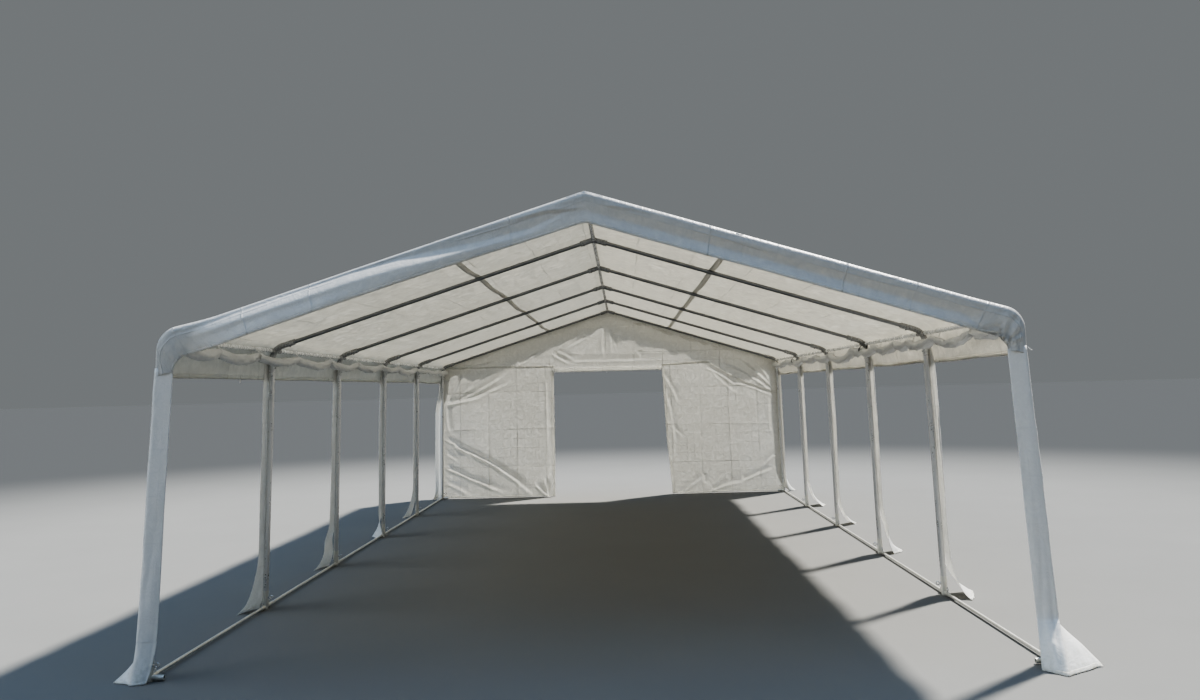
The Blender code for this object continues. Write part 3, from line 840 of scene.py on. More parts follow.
def sleevePath(sign, end, count):
    # from the free edge on the gable side, round the corner, to the free edge on the long side
    face = cover["legFace"] - leg["corner"]
    side = leg["sleeveSide"] - leg["corner"]
    turnLength = leg["corner"] * pi / 2
    run = np.linspace(0, face + turnLength + side, count)
    turn = np.clip((run - face) / turnLength, 0, 1) * pi / 2
    x = leg["sleevePlane"] - leg["corner"] - np.maximum(face - run, 0) + leg["corner"] * np.sin(turn)
    y = leg["sleeveFront"] - leg["corner"] * (1 - np.cos(turn)) - np.maximum(run - face - turnLength, 0)
    return beside(sign * x, end * y), beside(sign * np.sin(turn), end * np.cos(turn)), run


def legCover(side, sign, number):
    spec = {**plainFoot, **footPulls[side][number]}
    corner = number in (0, len(portals) - 1)
    end = -1 if number == 0 else 1
    if corner:
        count, top = leg["sleeveColumns"], leg["sleeveTop"]
        path, away, run = sleevePath(sign, end, count)
    else:
        count, top = leg["columns"], leg["stripTop"]
        run = np.linspace(0, leg["stripWidth"], count)
        path = beside(sign * leg["stripPlane"], portals[number] + run - leg["stripWidth"] / 2)
        away = np.array([float(sign), 0.0])
    share = run / run[-1]
    rise = spec["rise"]
    seed = 101 + 10 * number + (5 if sign > 0 else 0)
    pulls = np.array(spec["pull"])
    pull = beside(*(np.interp(share, (0, 0.5, 1), pulls[:, axis]) for axis in (0, 1)))
    pull = pull * (1 + 0.10 * lineNoise(share * 3.0, seed)[:, None])
    hang = np.linspace(0, 1, leg["rows"], endpoint=False)
    loose = np.linspace(0, 1, leg["looseRows"])
    height = np.concatenate([top + (rise - top) * hang, rise * (1 - loose) ** (1.45 - 0.4 * spec["crisp"])])
    lay = np.concatenate([0 * hang, loose ** (1.75 - 0.65 * spec["crisp"])])
    t, z = np.meshgrid(share, height)
    laid = np.repeat(lay[:, None], count, axis=1)
    low = 1 - smooth(z, 0.2, 1.9)
    ripple = layeredNoise(t * 2.2, z * 0.9, seed + 1, 2) * (0.003 + 0.008 * low)
    ripple = ripple + spec["pleats"] * np.sin(t * 17 + 1.5 * noise(t * 2, z * 1.3, seed + 7)) * low
    crinkle = 0.0022 * creaseNoise(t * 3.0, z * 6.0, seed + 2)
    crinkle = crinkle + 0.0015 * layeredNoise(t * 5, z * 7, seed + 3, 2)
    near = smooth(top - z, 0.0, 0.15)
    puff = (np.abs(ripple) + crinkle) * near + 0.001
    sway = 0.008 * layeredNoise(z * 1.2, t * 0, seed + 4, 2) * near * (1 - laid)
    spots = path
    if corner:
        # a soft turn-in of the free edges
        puff = puff - 0.004 * smooth(np.abs(t - 0.5), 0.40, 0.5) * low
        sway = sway * 0.4
    else:
        gathered = (1 - spec["gather"]) * smooth(z, 0.35, 1.5)
        puff = puff + 0.030 * gathered * (1 + np.sin(19 * t + noise(z * 2, t, seed + 8))) * near
        width = (1 - spec["narrow"] * laid) * (1 - gathered)
        centre = path.mean(axis=0)
        spots = centre + (path - centre) * width[..., None]
    place = spots + away * puff[..., None] + pull * laid[..., None]
    fromLean, toLean = spec["lean"]
    place[..., 0] += fromLean + (toLean - fromLean) * (top - z) / top
    place[..., 1] += sway
    if "open" in spec:
        # this sleeve has come off its post and hangs beside it, turned to the front
        loosened = 1 - smooth(z, 1.45, 1.95)
        wave = 0.028 * np.sin(2 * pi * t + 0.6)
        aside = beside(sign * (halfSpan + 0.012 + 0.13 * t + 0.7 * wave),
                       end * (halfLength + 0.010 + 0.13 * t - 0.7 * wave))
        place += loosened[..., None] * (aside - place) * (1 - laid[..., None])
    place[..., 0] += sign * spec["bulge"] * np.exp(-((z - 0.62 * rise) / 0.12) ** 2) * (1 - laid)
    x, y = place[..., 0], place[..., 1]
    flop = 0.5 + 0.5 * layeredNoise(x * 9, y * 9, seed + 5, 2)
    settle = 0.012 * flop * smooth(laid, 0.30, 0.8) * (1 - 0.7 * smooth(laid, 0.9, 1.0))
    curl = spec["curl"] * smooth(laid, 0.72, 1.0) * smooth(np.abs(t - 0.15), 0.22, 0.0)
    level = z + leg["ground"] + settle + curl
    uneven = 0.010 * laid * (1 - laid) * 4 * layeredNoise(t * 3, laid * 2, seed + 6, 2)
    level = level + uneven * smooth(z, 0.01, 0.1)
    points = beside(x, y, np.maximum(level, leg["ground"]))
    down = np.linalg.norm(np.diff(points, axis=0), axis=2).mean(axis=1)
    down = np.concatenate([[0], np.cumsum(down)])
    uv = beside(run[None, :], down[:, None])
    name = "legCover" + side.capitalize() + str(number + 1)
    sheet = gridObject(name, points, uv, sheetThickness)
    dress(sheet, legCloth if corner else stripCloth)
    hemRows = (len(down) - 1 - leg["hemRows"], len(down) - 0.99)
    hem = patchOn(name + "Hem", points, uv, hemRows, (0.0, count - 1.0), (4, count))
    dress(hem, hemCloth)
    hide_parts("leg_cover_" + side + "_" + str(number + 1))


for side, sign in sides:
    for number in range(len(portals)):
        legCover(side, sign, number)
print("leg covers made")


# Loose ends of tie ribbon, sewn to a hem
ribbonThickness = 0.0016
ribbonEnds = {
    "DoorHead": {"from": (-0.047, 5.0258, 2.176), "to": (-0.052, 5.012, 2.137), "width": 0.014},
    "ValanceLeft": {"from": (-3.0300, -3.62, 2.050), "to": (-3.0420, -3.60, 1.990), "width": 0.030},
    "CornerRight": {"from": (3.0330, -5.010, 2.078), "to": (3.0600, -5.018, 2.052), "width": 0.009},
}


def ribbonEnd(name, spec):
    start, end = (np.array(spec[key]) for key in ("from", "to"))
    share = np.linspace(0, 1, 12)[:, None]
    middle = start + (end - start) * share
    middle[:, 2] -= 0.006 * np.sin(pi * share[:, 0])
    crosswise = np.cross(end - start, (0.0, 0.0, 1.0) if abs(end[0] - start[0]) > 0.02 else (1.0, 0.2, 0.0))
    crosswise = crosswise / np.linalg.norm(crosswise)
    wide = np.linspace(-0.5, 0.5, 5)
    points = middle[:, None, :] + crosswise * (wide[None, :, None] * spec["width"])
    points[..., 2] += 0.0015 * np.sin(9 * share + 4 * wide)
    ribbon = gridObject("ribbon" + name, points, beside(wide * spec["width"], share * 0.06), ribbonThickness)
    dress(ribbon, whiteWebbing)


for name, spec in ribbonEnds.items():
    ribbonEnd(name, spec)
print("ribbon ends made")


# Back wall: a gable piece over the doorway and one panel on each side of it
wall = {
    "plane": 5.0295,
    "edge": 3.006,
    "tuck": 0.021,           # of its top above the rafters' axes, under the cover
    "lap": 0.030,
    "lapStep": 0.0026,
    "foldDepth": 2.0,
    "leastWidth": 0.025,     # of a fold, so that the mesh can follow it
    "panelColumns": 186,
    "panelRows": 206,
    "topColumns": 380,
    "topRows": 70,
    "ground": 0.003,
    "seamWidth": 0.030,
    "doorHem": 0.092,
    "postHem": 0.035,
    "footHemRows": 2.60,
    # packing creases: how high and wide they are, and where they lie
    "creaseHeight": 0.0060,
    "creaseWidth": 0.020,
    "creasesAcross": (-2.184, -1.668, -1.154, -0.62, 0.42, 0.98, 1.603, 2.108, 2.60),
    "creasesAlong": (0.545, 1.19, 1.84, 2.48, 2.95),
}
jambLeft = ((0.0, -1.000), (2.17, -0.996), (2.40, -0.995))
jambRight = ((0.0, 1.061), (0.9, 0.995), (2.17, 0.947), (2.40, 0.940))
wallSeam = ((-3.01, 2.276), (-2.167, 2.272), (-1.6, 2.262), (-1.0, 2.254), (-0.985, 2.168), (-0.4, 2.166),
            (0.0, 2.170), (0.5, 2.168), (0.94, 2.168), (0.96, 2.238), (1.4, 2.256), (1.79, 2.270),
            (1.85, 2.215), (2.119, 2.042), (2.446, 1.879), (2.819, 1.740), (3.01, 1.705))
leftFolds = (
    ((-2.966, 1.061), (-2.45, 0.72), 0.022, 0.016), ((-2.78, 0.92), (-1.36, 0.04), 0.026, 0.026),
    ((-2.966, 0.571), (-1.85, 0.10), 0.024, 0.020), ((-2.966, 0.827), (-2.72, 0.66), 0.018, 0.010),
    ((-1.10, 0.01), (-1.36, 0.24), 0.018, 0.022), ((-1.09, 0.01), (-1.17, 0.32), 0.018, 0.020),
    ((-1.07, 0.01), (-1.012, 0.28), 0.016, 0.016), ((-1.13, 2.10), (-1.10, 0.75), 0.016, 0.012),
    ((-2.90, 1.62), (-2.86, 1.15), 0.018, 0.012), ((-2.93, 1.65), (-1.84, 2.21), 0.020, 0.014),
    ((-2.93, 1.66), (-1.72, 2.08), 0.020, 0.013), ((-2.93, 1.67), (-2.14, 1.85), 0.018, 0.012),
    ((-2.93, 1.69), (-2.65, 2.18), 0.016, 0.012), ((-2.93, 1.69), (-2.85, 2.12), 0.014, 0.010),
    ((-2.93, 1.67), (-2.38, 2.07), 0.018, 0.006), ((-2.96, 0.30), (-2.45, 0.06), 0.034, 0.010),
)
rightFolds = (
    ((0.973, 2.119), (1.27, 1.52), 0.022, 0.009), ((1.031, 1.738), (1.145, 0.75), 0.020, 0.008),
    ((1.10, 1.19), (1.29, 0.99), 0.018, 0.005), ((1.179, 0.0), (1.59, 0.32), 0.024, 0.012),
    ((1.62, 0.34), (1.625, 0.16), 0.016, 0.008), ((1.75, 0.06), (2.35, 0.25), 0.032, 0.014),
    ((2.30, 0.23), (2.84, 0.45), 0.026, 0.014), ((1.75, 2.20), (2.30, 1.84), 0.018, 0.009),
    ((2.20, 1.93), (2.93, 1.66), 0.018, 0.009), ((2.86, 1.62), (2.88, 0.95), 0.020, 0.008),
    ((1.86, 2.12), (2.28, 1.74), 0.016, 0.006), ((2.90, 0.66), (2.62, 0.42), 0.022, 0.010),
)
topFolds = (
    ((-0.62, 2.377), (0.98, 2.377), 0.012, 0.006), ((-1.62, 2.34), (-1.30, 2.55), 0.016, 0.010),
    ((-1.0, 2.52), (-0.70, 2.32), 0.014, 0.012), ((-0.92, 2.56), (-0.62, 2.40), 0.012, 0.009),
    ((2.90, 1.76), (1.95, 2.32), 0.024, 0.012), ((2.93, 1.80), (2.30, 2.38), 0.022, 0.010),
    ((2.93, 1.78), (2.65, 2.30), 0.018, 0.008), ((-0.06, 2.94), (-0.07, 2.42), 0.012, 0.012),
    ((0.05, 2.90), (0.06, 2.46), 0.012, 0.012), ((0.13, 2.86), (0.15, 2.52), 0.012, 0.009),
    ((-0.40, 2.80), (-0.75, 2.62), 0.014, 0.009), ((0.55, 2.52), (0.58, 2.40), 0.012, 0.008),
    ((-2.60, 2.33), (-2.05, 2.43), 0.016, 0.008),
)


def wallPush(x, z, folds, seed):
    # how far the wall stands out of its plane, with plus to the outside
    push = 0.009 * layeredNoise(x * 0.9, z * 0.8, seed, 2)
    push = push + 0.0035 * layeredNoise(x * 3.1, z * 2.7, seed + 3, 2)
    push = push + 0.0034 * creaseNoise(x * 4.5, z * 4.5, seed + 7)
    push = push + 0.0022 * creaseNoise(x * 9, z * 8, seed + 8)
    # the doubled strips beside and above the doorway lean into the light
    push = push - 0.034 * smooth(x, -1.17, -0.99) * smooth(-x, 0.97, 0.98) * (1 - smooth(z, 2.10, 2.20))
    aboveDoor = (1 - smooth(z, 2.165, 2.27)) * smooth(z, 2.10, 2.16)
    push = push + 0.026 * aboveDoor * smooth(1.0 - np.abs(x), 0.0, 0.1)
    for fold in folds:
        push = push - wall["foldDepth"] * foldLine(x, z, *fold, wall["leastWidth"])
    for place, lines, other in ((x, wall["creasesAcross"], z), (z, wall["creasesAlong"], x)):
        for number, spot in enumerate(lines):
            patchy = 0.25 + smooth(noise(other * 1.1 + spot * 3, other * 0 + number, seed + 9), -0.6, 0.3)
            bend = 0.010 * noise(other * 1.6, other * 0 + spot, seed + 11)
            height = wall["creaseHeight"] if number % 2 else -wall["creaseHeight"]
            push = push + height * patchy * np.exp(-np.abs(place - spot - bend) / wall["creaseWidth"])
    return push


def holdWall(x, z, push):
    # keeps the cloth off the steel in front of it, and pulled in where it is tied
    under = tent["ridge"] - np.abs(x) * tan(pitch) - z
    free = smooth(under, 0.02, 0.22) * smooth(halfSpan - 0.03 - np.abs(x), 0.0, 0.16)
    return np.maximum(push, -0.045 * free) * (0.15 + 0.85 * np.maximum(free, smooth(push, 0, 0.02) * 0.6))


def wallSheet(name, x, z, folds, seed, step, offset, node, slack=0.0):
    push = holdWall(x, z, wallPush(x, z, folds, seed))
    foot = 1 - smooth(z, 0.0, 0.30)
    push = push + slack * foot * (0.5 + 0.5 * layeredNoise(x * 2.2, z, seed + 13, 2))
    points = beside(x, wall["plane"] + step + np.maximum(push, -0.05), z)
    uv = beside(x + offset[0], z + offset[1])
    sheet = gridObject(name, points, uv, sheetThickness)
    dress(sheet, wallCloth)
    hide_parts(node)
    return sheet, points, uv


def wallTop():
    line = np.linspace(-wall["edge"], wall["edge"], wall["topColumns"])
    # columns are drawn to the doorway's corners
    door = []
    for spot, shift in ((jambLeft[1][1], 0.014), (jambRight[2][1], -0.014)):
        for target in (spot, spot + shift):
            line[np.argmin(np.abs(line - target))] = target
        door.append(float(np.argmin(np.abs(line - spot))))
    low = lineAt(wallSeam, line) + 0.003 * lineNoise(line * 3.1, 203)
    wide = np.abs(line)
    radius = tent["bend"] + wall["tuck"]
    slopeEnd = bendX + radius * sin(pitch)
    high = tent["ridge"] - wide * tan(pitch) + wall["tuck"] / cos(pitch)
    turned = bendZ + np.sqrt(np.maximum(radius ** 2 - np.clip(wide - bendX, 0, radius) ** 2, 0.0001))
    high = np.where(wide > slopeEnd, turned, high)
    z = low + (high - low) * np.linspace(0, 1, wall["topRows"])[:, None]
    sheet, points, uv = wallSheet(
        "backWallTop", line + 0 * z, z, topFolds, 211, 0.0, (0.05, 0.10), "back_wall_top")
    rowCell = (high - low) / (wall["topRows"] - 1)
    doorHem = wall["doorHem"] / rowCell[len(line) // 2]
    bands = [patchOn("doorHeadHem", points, uv, (-0.02, doorHem), door, (5, 84))]
    spans = (("wallSeamLeft", 0.0, door[0] - 1), ("wallSeamRight", door[1] + 1, len(line) - 1.0))
    for label, first, last in spans:
        column = np.linspace(first, last, int(last - first))
        levels = np.array((-0.002, wall["seamWidth"] / 2, wall["seamWidth"]))[:, None]
        row = levels / np.interp(column, np.arange(len(line)), rowCell)
        column = column + 0 * row
        bands.append(gridObject(label, samplePoints(points, row, column), samplePoints(uv, row, column),
                                hemThickness))
    for band in bands:
        dress(band, wallHemCloth)


def wallPanel(side, sign, jamb, folds, seed, offset, hemWidth):
    share = np.linspace(0, 1, wall["panelColumns"])[None, :]
    rise = np.linspace(0, 1, wall["panelRows"])[:, None]
    inner = abs(jamb[1][1])
    guess = sign * (inner + (wall["edge"] - inner) * share)
    top = lineAt(wallSeam, np.where(np.abs(guess) < 1.02, sign * 1.02, guess)) + wall["lap"]
    z = wall["ground"] + (top - wall["ground"]) * rise
    z = z + (0.006 + 0.006 * lineNoise(guess * 2.3, seed + 17)) * (1 - rise) ** 3
    x = lineAt(jamb, z)
    x = x + (sign * wall["edge"] - x) * share
    x = x + 0.004 * lineNoise(z * 2.4, seed + 19) * (1 - share)
    name = "backWall" + side.capitalize()
    sheet, points, uv = wallSheet(name, x, z, folds, seed, wall["lapStep"], offset, "back_wall_" + side, 0.02)
    cell = (wall["edge"] - inner) / (wall["panelColumns"] - 1)
    full = (0.0, wall["panelRows"] - 1.0)
    outer = wall["panelColumns"] - 1.0
    bands = [patchOn(name + label, points, uv, rows, columns, count) for label, rows, columns, count in (
        ("JambHem", full, (-0.02, hemWidth / cell), (100, 6)),
        ("PostHem", full, (outer - wall["postHem"] / cell, outer), (100, 5)),
        ("FootHem", (-0.05, wall["footHemRows"]), (0.0, outer), (4, 90)))]
    for band in bands:
        dress(band, wallHemCloth)


wallTop()
wallPanel("left", -1, jambLeft, leftFolds, 231, (0.134, 0.11), 0.050)
wallPanel("right", 1, jambRight, rightFolds, 251, (-0.073, 0.10), 0.045)
print("back wall made")


# Rolled side walls, tied up under the eave rails
roll = {
    "x": 2.9352,
    "tieHeight": 2.214,
    "sag": 0.042,
    "radius": 0.036,
    "core": 0.005,
    "end": 4.94,
    "innerTurns": 11,
    "outerTurns": 3,
    "innerSegments": 6,
    "outerSegments": 17,
    "rows": 400,
    "railX": 2.977,
    "railZ": 2.283,
    "railRadius": 0.0205,
    "tieWidth": 0.020,
    "blackWider": 2.8,       # width of a black tie, against a white one
}
tiePlaces = {
    "left": (-4.86, -4.29, -3.50, -2.55, -1.55, -0.55, 0.57, 1.45, 2.55, 3.40, 4.20, 4.86),
    "right": (-4.86, -4.30, -3.44, -2.74, -2.33, -1.65, -1.07, -0.70, 0.49, 1.35, 2.25, 3.09, 3.59, 4.86),
}
blackTies = {"left": (), "right": (-1.07, 3.09)}
rollRough = {"left": 1.0, "right": 1.35}


def rollAxis(side, sign, y):
    ties = np.array(tiePlaces[side])
    place = np.clip(np.searchsorted(ties, y) - 1, 0, len(ties) - 2)
    gap = ties[place + 1] - ties[place]
    share = np.clip((y - ties[place]) / gap, 0, 1)
    deep = rollRough[side] + 0.45 * lineNoise(place * 2.7, 317 + sign)
    drop = roll["sag"] * np.minimum(gap, 1.15) * deep * 4 * share * (1 - share)
    level = np.interp(y, ties, 0.006 * lineNoise(ties, 301 + sign))
    x = sign * (roll["x"] - 0.010 * drop / roll["sag"] + 0.005 * lineNoise(y * 1.1, 307 + sign))
    return x, roll["tieHeight"] + level - drop


def rolledWall(side, sign):
    y = np.linspace(-roll["end"], roll["end"], roll["rows"])
    axisX, axisZ = rollAxis(side, sign, y)
    inner = np.arange(roll["innerTurns"] * roll["innerSegments"]) / roll["innerSegments"]
    outer = np.arange(roll["outerTurns"] * roll["outerSegments"] + 1) / roll["outerSegments"]
    turn = np.concatenate([inner, roll["innerTurns"] + outer]) * 2 * pi
    wound = turn / turn[-1]
    radius = roll["core"] + (roll["radius"] - roll["core"]) * wound
    seed = 311 if sign < 0 else 331
    rough = rollRough[side]
    turned, along = np.meshgrid(turn, y)
    around = turned % (2 * pi)
    twist = 0.5 * lineNoise(along * 0.35, seed)
    a, b = np.cos(around + twist), np.sin(around + twist)
    lumps = noise(a * 1.1 + 4, b * 1.1 + along * 2.2, seed + 1)
    lumps = lumps + 0.6 * noise(a * 2 + 9, b * 2 + along * 5.5, seed + 2)
    wrinkles = creaseNoise(a * 2.2 + along * 3.0, b * 2.2 + along * 6.0, seed + 3) - 0.3
    coil = around * 2 + along * 16 + 2.5 * lineNoise(along * 2.0, seed + 8)
    wrinkles = wrinkles + 1.1 * np.abs(np.sin(coil)) * (0.4 + 0.6 * noise(along * 2.7, b, seed + 9))
    wrinkles = wrinkles + 0.9 * noise(a * 2.6 + 20, b * 2.6 + along * 10, seed + 10)
    wrinkles = wrinkles + 0.8 * creaseNoise(a * 1.4 + along * 8, b * 1.4 - along * 5, seed + 11)
    # 1 at a tie, and 0 a little away from it
    squeeze = sum(np.exp(-((y - tie) / 0.035) ** 2) for tie in tiePlaces[side])[:, None]
    swell = 0.99 + 0.24 * lumps * rough + 0.20 * wrinkles * rough - 0.24 * squeeze
    swell = swell + 0.08 * lineNoise(along * 1.7, seed + 4)
    loose = smooth(wound, 0.972, 1.0)[None, :] * (1 - np.minimum(squeeze, 1))
    reach = radius[None, :] * swell + 0.006 * loose * (0.5 + 0.5 * lineNoise(along * 1.9, seed + 5))
    angle = turned * (-sign) + (-0.6 if sign < 0 else pi + 0.6) + twist
    ends = smooth(roll["end"] - np.abs(along), 0.0, 0.05)
    edge = (1 - ends) * 0.012 * noise(a * 2, b * 2 + turned * 0.3, seed + 6) * np.sign(along)
    points = beside(axisX[:, None] + reach * np.cos(angle) * 0.96, along + edge,
                    axisZ[:, None] + reach * np.sin(angle))
    across = np.concatenate([[0], np.cumsum(np.hypot(radius[:-1] * np.diff(turn), np.diff(radius)))])
    name = "rolledWall" + side.capitalize()
    sheet = gridObject(name, points, beside(across[None, :], along), 0)
    dress(sheet, rollCloth)
    for kind, material in (("White", whiteWebbing), ("Black", blackWebbing)):
        black = kind == "Black"
        places = [tie for tie in tiePlaces[side] if (tie in blackTies[side]) == black]
        ties = [tieLoop(side, sign, tie, black) for tie in places]
        if ties:
            dress(joined(name + kind + "Ties", ties), material)
    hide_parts("rolled_wall_" + side)


def tieLoop(side, sign, y, black):
    # a ribbon drawn tight round the roll and the rail
    axisX, axisZ = rollAxis(side, sign, np.array([y]))
    squeezed = roll["radius"] * (0.95 if black else 0.88) + ribbonThickness
    circles = ((float(axisX[0]), float(axisZ[0]), squeezed),
               (sign * roll["railX"], roll["railZ"], roll["railRadius"] + 0.0012))
    angles = np.linspace(0, 2 * pi, 48, endpoint=False)
    loop = []
    for angle in angles:
        reach = [centreX * cos(angle) + centreZ * sin(angle) + radius for centreX, centreZ, radius in circles]
        centreX, centreZ, radius = circles[int(np.argmax(reach))]
        loop.append((centreX + radius * cos(angle), centreZ + radius * sin(angle)))
    x, z = np.array(loop).T
    across = np.linspace(-0.5, 0.5, 4)[:, None] * roll["tieWidth"] * (roll["blackWider"] if black else 1.0)
    points = beside(x, y + across + 0.003 * np.sin(angles * 2 + y), z)
    return gridObject("tieLoop", points, points[..., :2], ribbonThickness, closed=True)


for side, sign in sides:
    rolledWall(side, sign)
print("rolled walls made")


# Bolts and eye bolts of the fittings
bolts = {
    "head": 0.0075,
    "headDepth": 0.0055,
    "washer": 0.0105,
    "washerDepth": 0.0016,
    "sunk": 0.002,           # of the washer's foot into the tube
    "eyeRing": 0.0135,
    "eyeWire": 0.0044,
    "eyeStem": 0.016,
    "ringSteps": 28,
    "ringSides": 9,
    "footEye": 0.100,        # heights on a post
    "eaveDown": 2.125,
    "alongSlope": 0.075,     # from the eave's bend and from the ridge
    "fromRidge": 0.085,
    "footStep": 0.082,       # along the ground bar and the eave rail, to each side of a post
    "footTop": 0.0396,
    "eaveStep": 0.088,
    "railFace": 0.0213,
}
# discs from the tube outwards: radius, depth, segments, narrowing and start
washerDisc = (bolts["washer"], bolts["washerDepth"] + bolts["sunk"], 20, 0.95, -bolts["sunk"])
boltDiscs = (
    washerDisc, (bolts["head"], bolts["headDepth"] * 0.8, 6, 1.0, bolts["washerDepth"]),
    (bolts["head"], bolts["headDepth"] * 0.2, 6, 0.86, bolts["washerDepth"] + bolts["headDepth"] * 0.8))
eyeDiscs = (
    washerDisc, (bolts["head"] * 1.1, 0.006, 6, 0.92, bolts["washerDepth"]),
    (0.004, bolts["eyeStem"], 12, 1.0, 0.0))


def addRing(shape, matrix):
    steps, parts = bolts["ringSteps"], bolts["ringSides"]
    centre = bolts["eyeStem"] + bolts["eyeRing"] - 0.002
    ring = []
    for step in range(steps):
        turn = 2 * pi * step / steps
        out = Vector((0, sin(turn), cos(turn)))
        row = []
        for part in range(parts):
            angle = 2 * pi * part / parts
            spot = Vector((0, 0, centre)) + out * (bolts["eyeRing"] + bolts["eyeWire"] * cos(angle))
            spot = spot + Vector((1, 0, 0)) * bolts["eyeWire"] * sin(angle)
            row.append(shape.verts.new(matrix @ spot))
        ring.append(row)
    for near, far in zip(ring, ring[1:] + ring[:1]):
        for part in range(parts):
            beyond = (part + 1) % parts
            shape.faces.new((near[part], far[part], far[beyond], near[beyond]))


def boltPiece(name, places):
    shape = bmesh.new()
    for place, direction, eye in places:
        matrix = Matrix.Translation(place) @ Vector(direction).to_track_quat("Z", "Y").to_matrix().to_4x4()
        for radius, depth, segments, top, start in eyeDiscs if eye else boltDiscs:
            bmesh.ops.create_cone(
                shape, cap_ends=True, segments=segments, radius1=radius, radius2=radius * top, depth=depth,
                matrix=matrix @ Matrix.Translation((0, 0, start + depth / 2)))
        if eye:
            addRing(shape, matrix)
    bmesh.ops.recalc_face_normals(shape, faces=shape.faces)
    dress(shapeObject(name, shape, 35), boltSteel)


boltPlaces = {"footBolts": [], "eaveBolts": [], "ridgeBolts": []}
flush = tent["fitting"] - 0.0003
along = bendTangent + bolts["alongSlope"]
eaveX = halfSpan - along * cos(pitch) - flush * sin(pitch)
eaveZ = tent["eave"] + along * sin(pitch) - flush * cos(pitch)
ridgeX = bolts["fromRidge"] * cos(pitch) + flush * sin(pitch)
ridgeZ = tent["ridge"] - bolts["fromRidge"] * sin(pitch) - flush * cos(pitch)
for side, sign in sides:
    inward = (-sign, 0, 0)
    downward = (-sign * sin(pitch), 0, -cos(pitch))
    for y in portals:
        boltPlaces["footBolts"].append(((sign * (halfSpan - flush), y, bolts["footEye"]), inward, True))
        for step in (-1, 1):
            if abs(y + step) < halfLength + 0.5:
                footSpot = (sign * halfSpan, y + step * bolts["footStep"], bolts["footTop"])
                boltPlaces["footBolts"].append((footSpot, (0, 0, 1), True))
                railX = sign * (roll["railX"] - bolts["railFace"])
                eaveSpot = (railX, y + step * bolts["eaveStep"], roll["railZ"])
                boltPlaces["eaveBolts"].append((eaveSpot, inward, False))
        boltPlaces["eaveBolts"].append(((sign * (halfSpan - flush), y, bolts["eaveDown"]), inward, False))
        boltPlaces["eaveBolts"].append(((sign * eaveX, y, eaveZ), downward, False))
        boltPlaces["ridgeBolts"].append(((sign * ridgeX, y, ridgeZ), downward, False))
for name, places in boltPlaces.items():
    boltPiece(name, places)
print("bolts made")


# Floor, light and camera
stage = {
    "floorSize": 600.0,
    "floorColour": (0.156, 0.156, 0.150, 1),
    "floorSecond": (0.139, 0.139, 0.133, 1),
    "floorFar": (0.0450, 0.0470, 0.0480, 1),
    "paleReach": (7.5, 19.0),
    "sky": (0.45, 0.71, 1.12, 1),
    "haze": (0.15, 0.16, 0.165, 1),
    "skyLevels": (0.46, 0.80),
    "skyStrength": 1.15,
    "sunStrength": 13.5,
    "sunAngle": 4.0,
    "sunFrom": (0.52, 0.45, 1.0),
    "sunColour": (1.0, 0.965, 0.91),
    "fillStrength": 1.5,
    "fillAngle": 50.0,
    "fillFrom": (-1.0, -0.18, 0.50),
    "fillColour": (0.84, 0.93, 1.0),
}


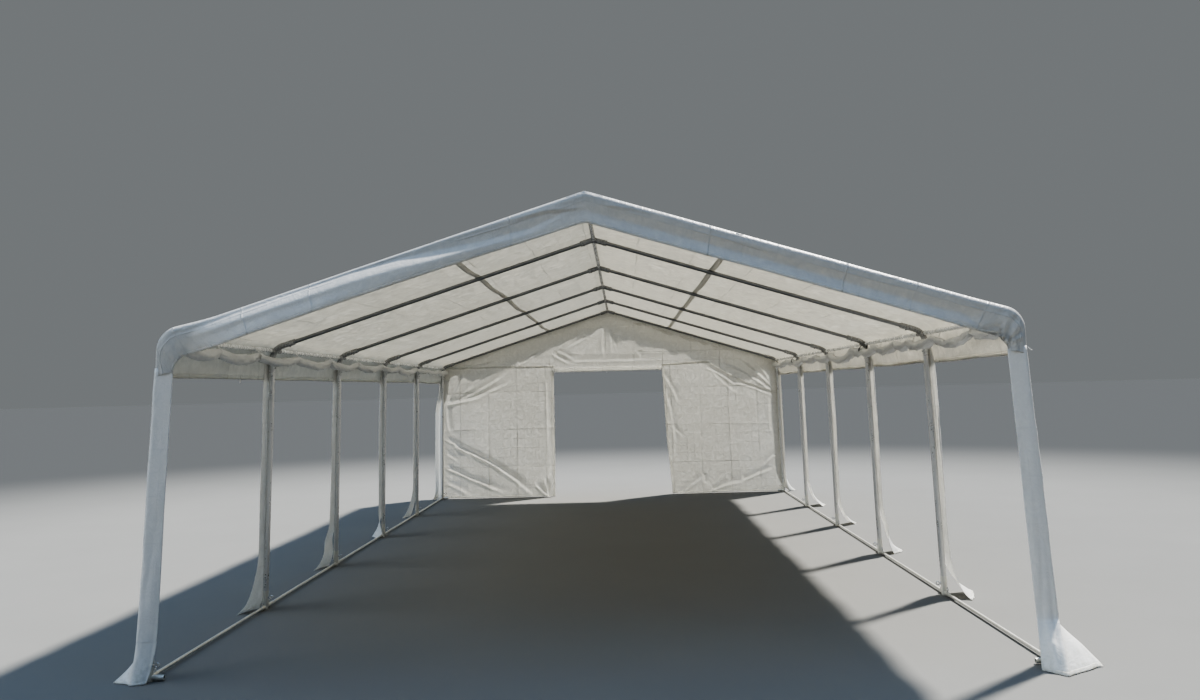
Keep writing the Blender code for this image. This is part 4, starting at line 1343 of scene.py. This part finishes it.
def buildStage():
    mesh = bpy.data.meshes.new("floor")
    half = stage["floorSize"] / 2
    corners = [(-half, -half, 0), (half, -half, 0), (half, half, 0), (-half, half, 0)]
    mesh.from_pydata(corners, [], [(0, 1, 2, 3)])
    floor = newObject("floor", mesh)
    material, wires, shader, place = newMaterial("floorPaint")
    grain = wires.noise(place, 90.0, 3.0, 0.6)
    away = wires.node("VectorMath", {0: place}, operation="LENGTH").outputs["Value"]
    far = wires.spread(away, *stage["paleReach"], interpolation_type="SMOOTHSTEP")
    near = wires.tint(wires.noise(place, 0.7, 5.0, 0.6), stage["floorColour"], stage["floorSecond"])
    wires.feed(shader, {
        "Base Color": wires.tint(far, near, stage["floorFar"]),
        "Roughness": wires.spread(grain, 0.3, 0.7, 0.85, 0.95),
        "Specular IOR Level": 0.0, "Normal": wires.bump(grain, 0.2, 0.001)})
    mesh.materials.append(material)

    world = bpy.data.worlds.new("studioSky")
    world.use_nodes = True
    wires = Wires(world.node_tree)
    upward = wires.split(wires.node("TexCoord").outputs["Generated"])[2]
    wires.feed(world.node_tree.nodes["Background"], {
        "Color": wires.tint(wires.spread(upward, *stage["skyLevels"]), stage["haze"], stage["sky"]),
        "Strength": stage["skyStrength"]})
    bpy.context.scene.world = world
    bpy.context.scene.view_settings.look = "AgX - Medium High Contrast"

    for label in ("sun", "fill"):
        light = bpy.data.lights.new(label + "Light", "SUN")
        light.energy = stage[label + "Strength"]
        light.angle = radians(stage[label + "Angle"])
        light.color = stage[label + "Colour"]
        lamp = newObject(label + "Light", light)
        lamp.matrix_world = Vector(stage[label + "From"]).to_track_quat("Z", "Y").to_matrix().to_4x4()


view = {
    "imageSize": (1200, 700),
    "focalPixels": 904.3,
    "principal": (600, 250),
    "place": (0.234, -11.353, 1.865),
    "yaw": -1.20,
    "pitch": 8.69,
    "roll": -1.48,
}


def buildCamera():
    data = bpy.data.cameras.new("photoCamera")
    width, height = view["imageSize"]
    data.sensor_width = 36.0
    data.lens = view["focalPixels"] * data.sensor_width / width
    data.shift_x = (width / 2 - view["principal"][0]) / width
    data.shift_y = (view["principal"][1] - height / 2) / width
    data.clip_end = 2000.0
    yaw, tilt, lean = (radians(view[key]) for key in ("yaw", "pitch", "roll"))
    forward = Vector((sin(yaw) * cos(tilt), cos(yaw) * cos(tilt), sin(tilt)))
    level = Vector((cos(yaw), -sin(yaw), 0))
    upright = level.cross(forward)
    right = cos(lean) * level + sin(lean) * upright
    up = -sin(lean) * level + cos(lean) * upright
    turn = Matrix((right, up, -forward)).transposed().to_4x4()
    camera = newObject("photoCamera", data)
    camera.matrix_world = Matrix.Translation(view["place"]) @ turn
    bpy.context.scene.camera = camera


buildStage()
buildCamera()
print("stage and camera made")
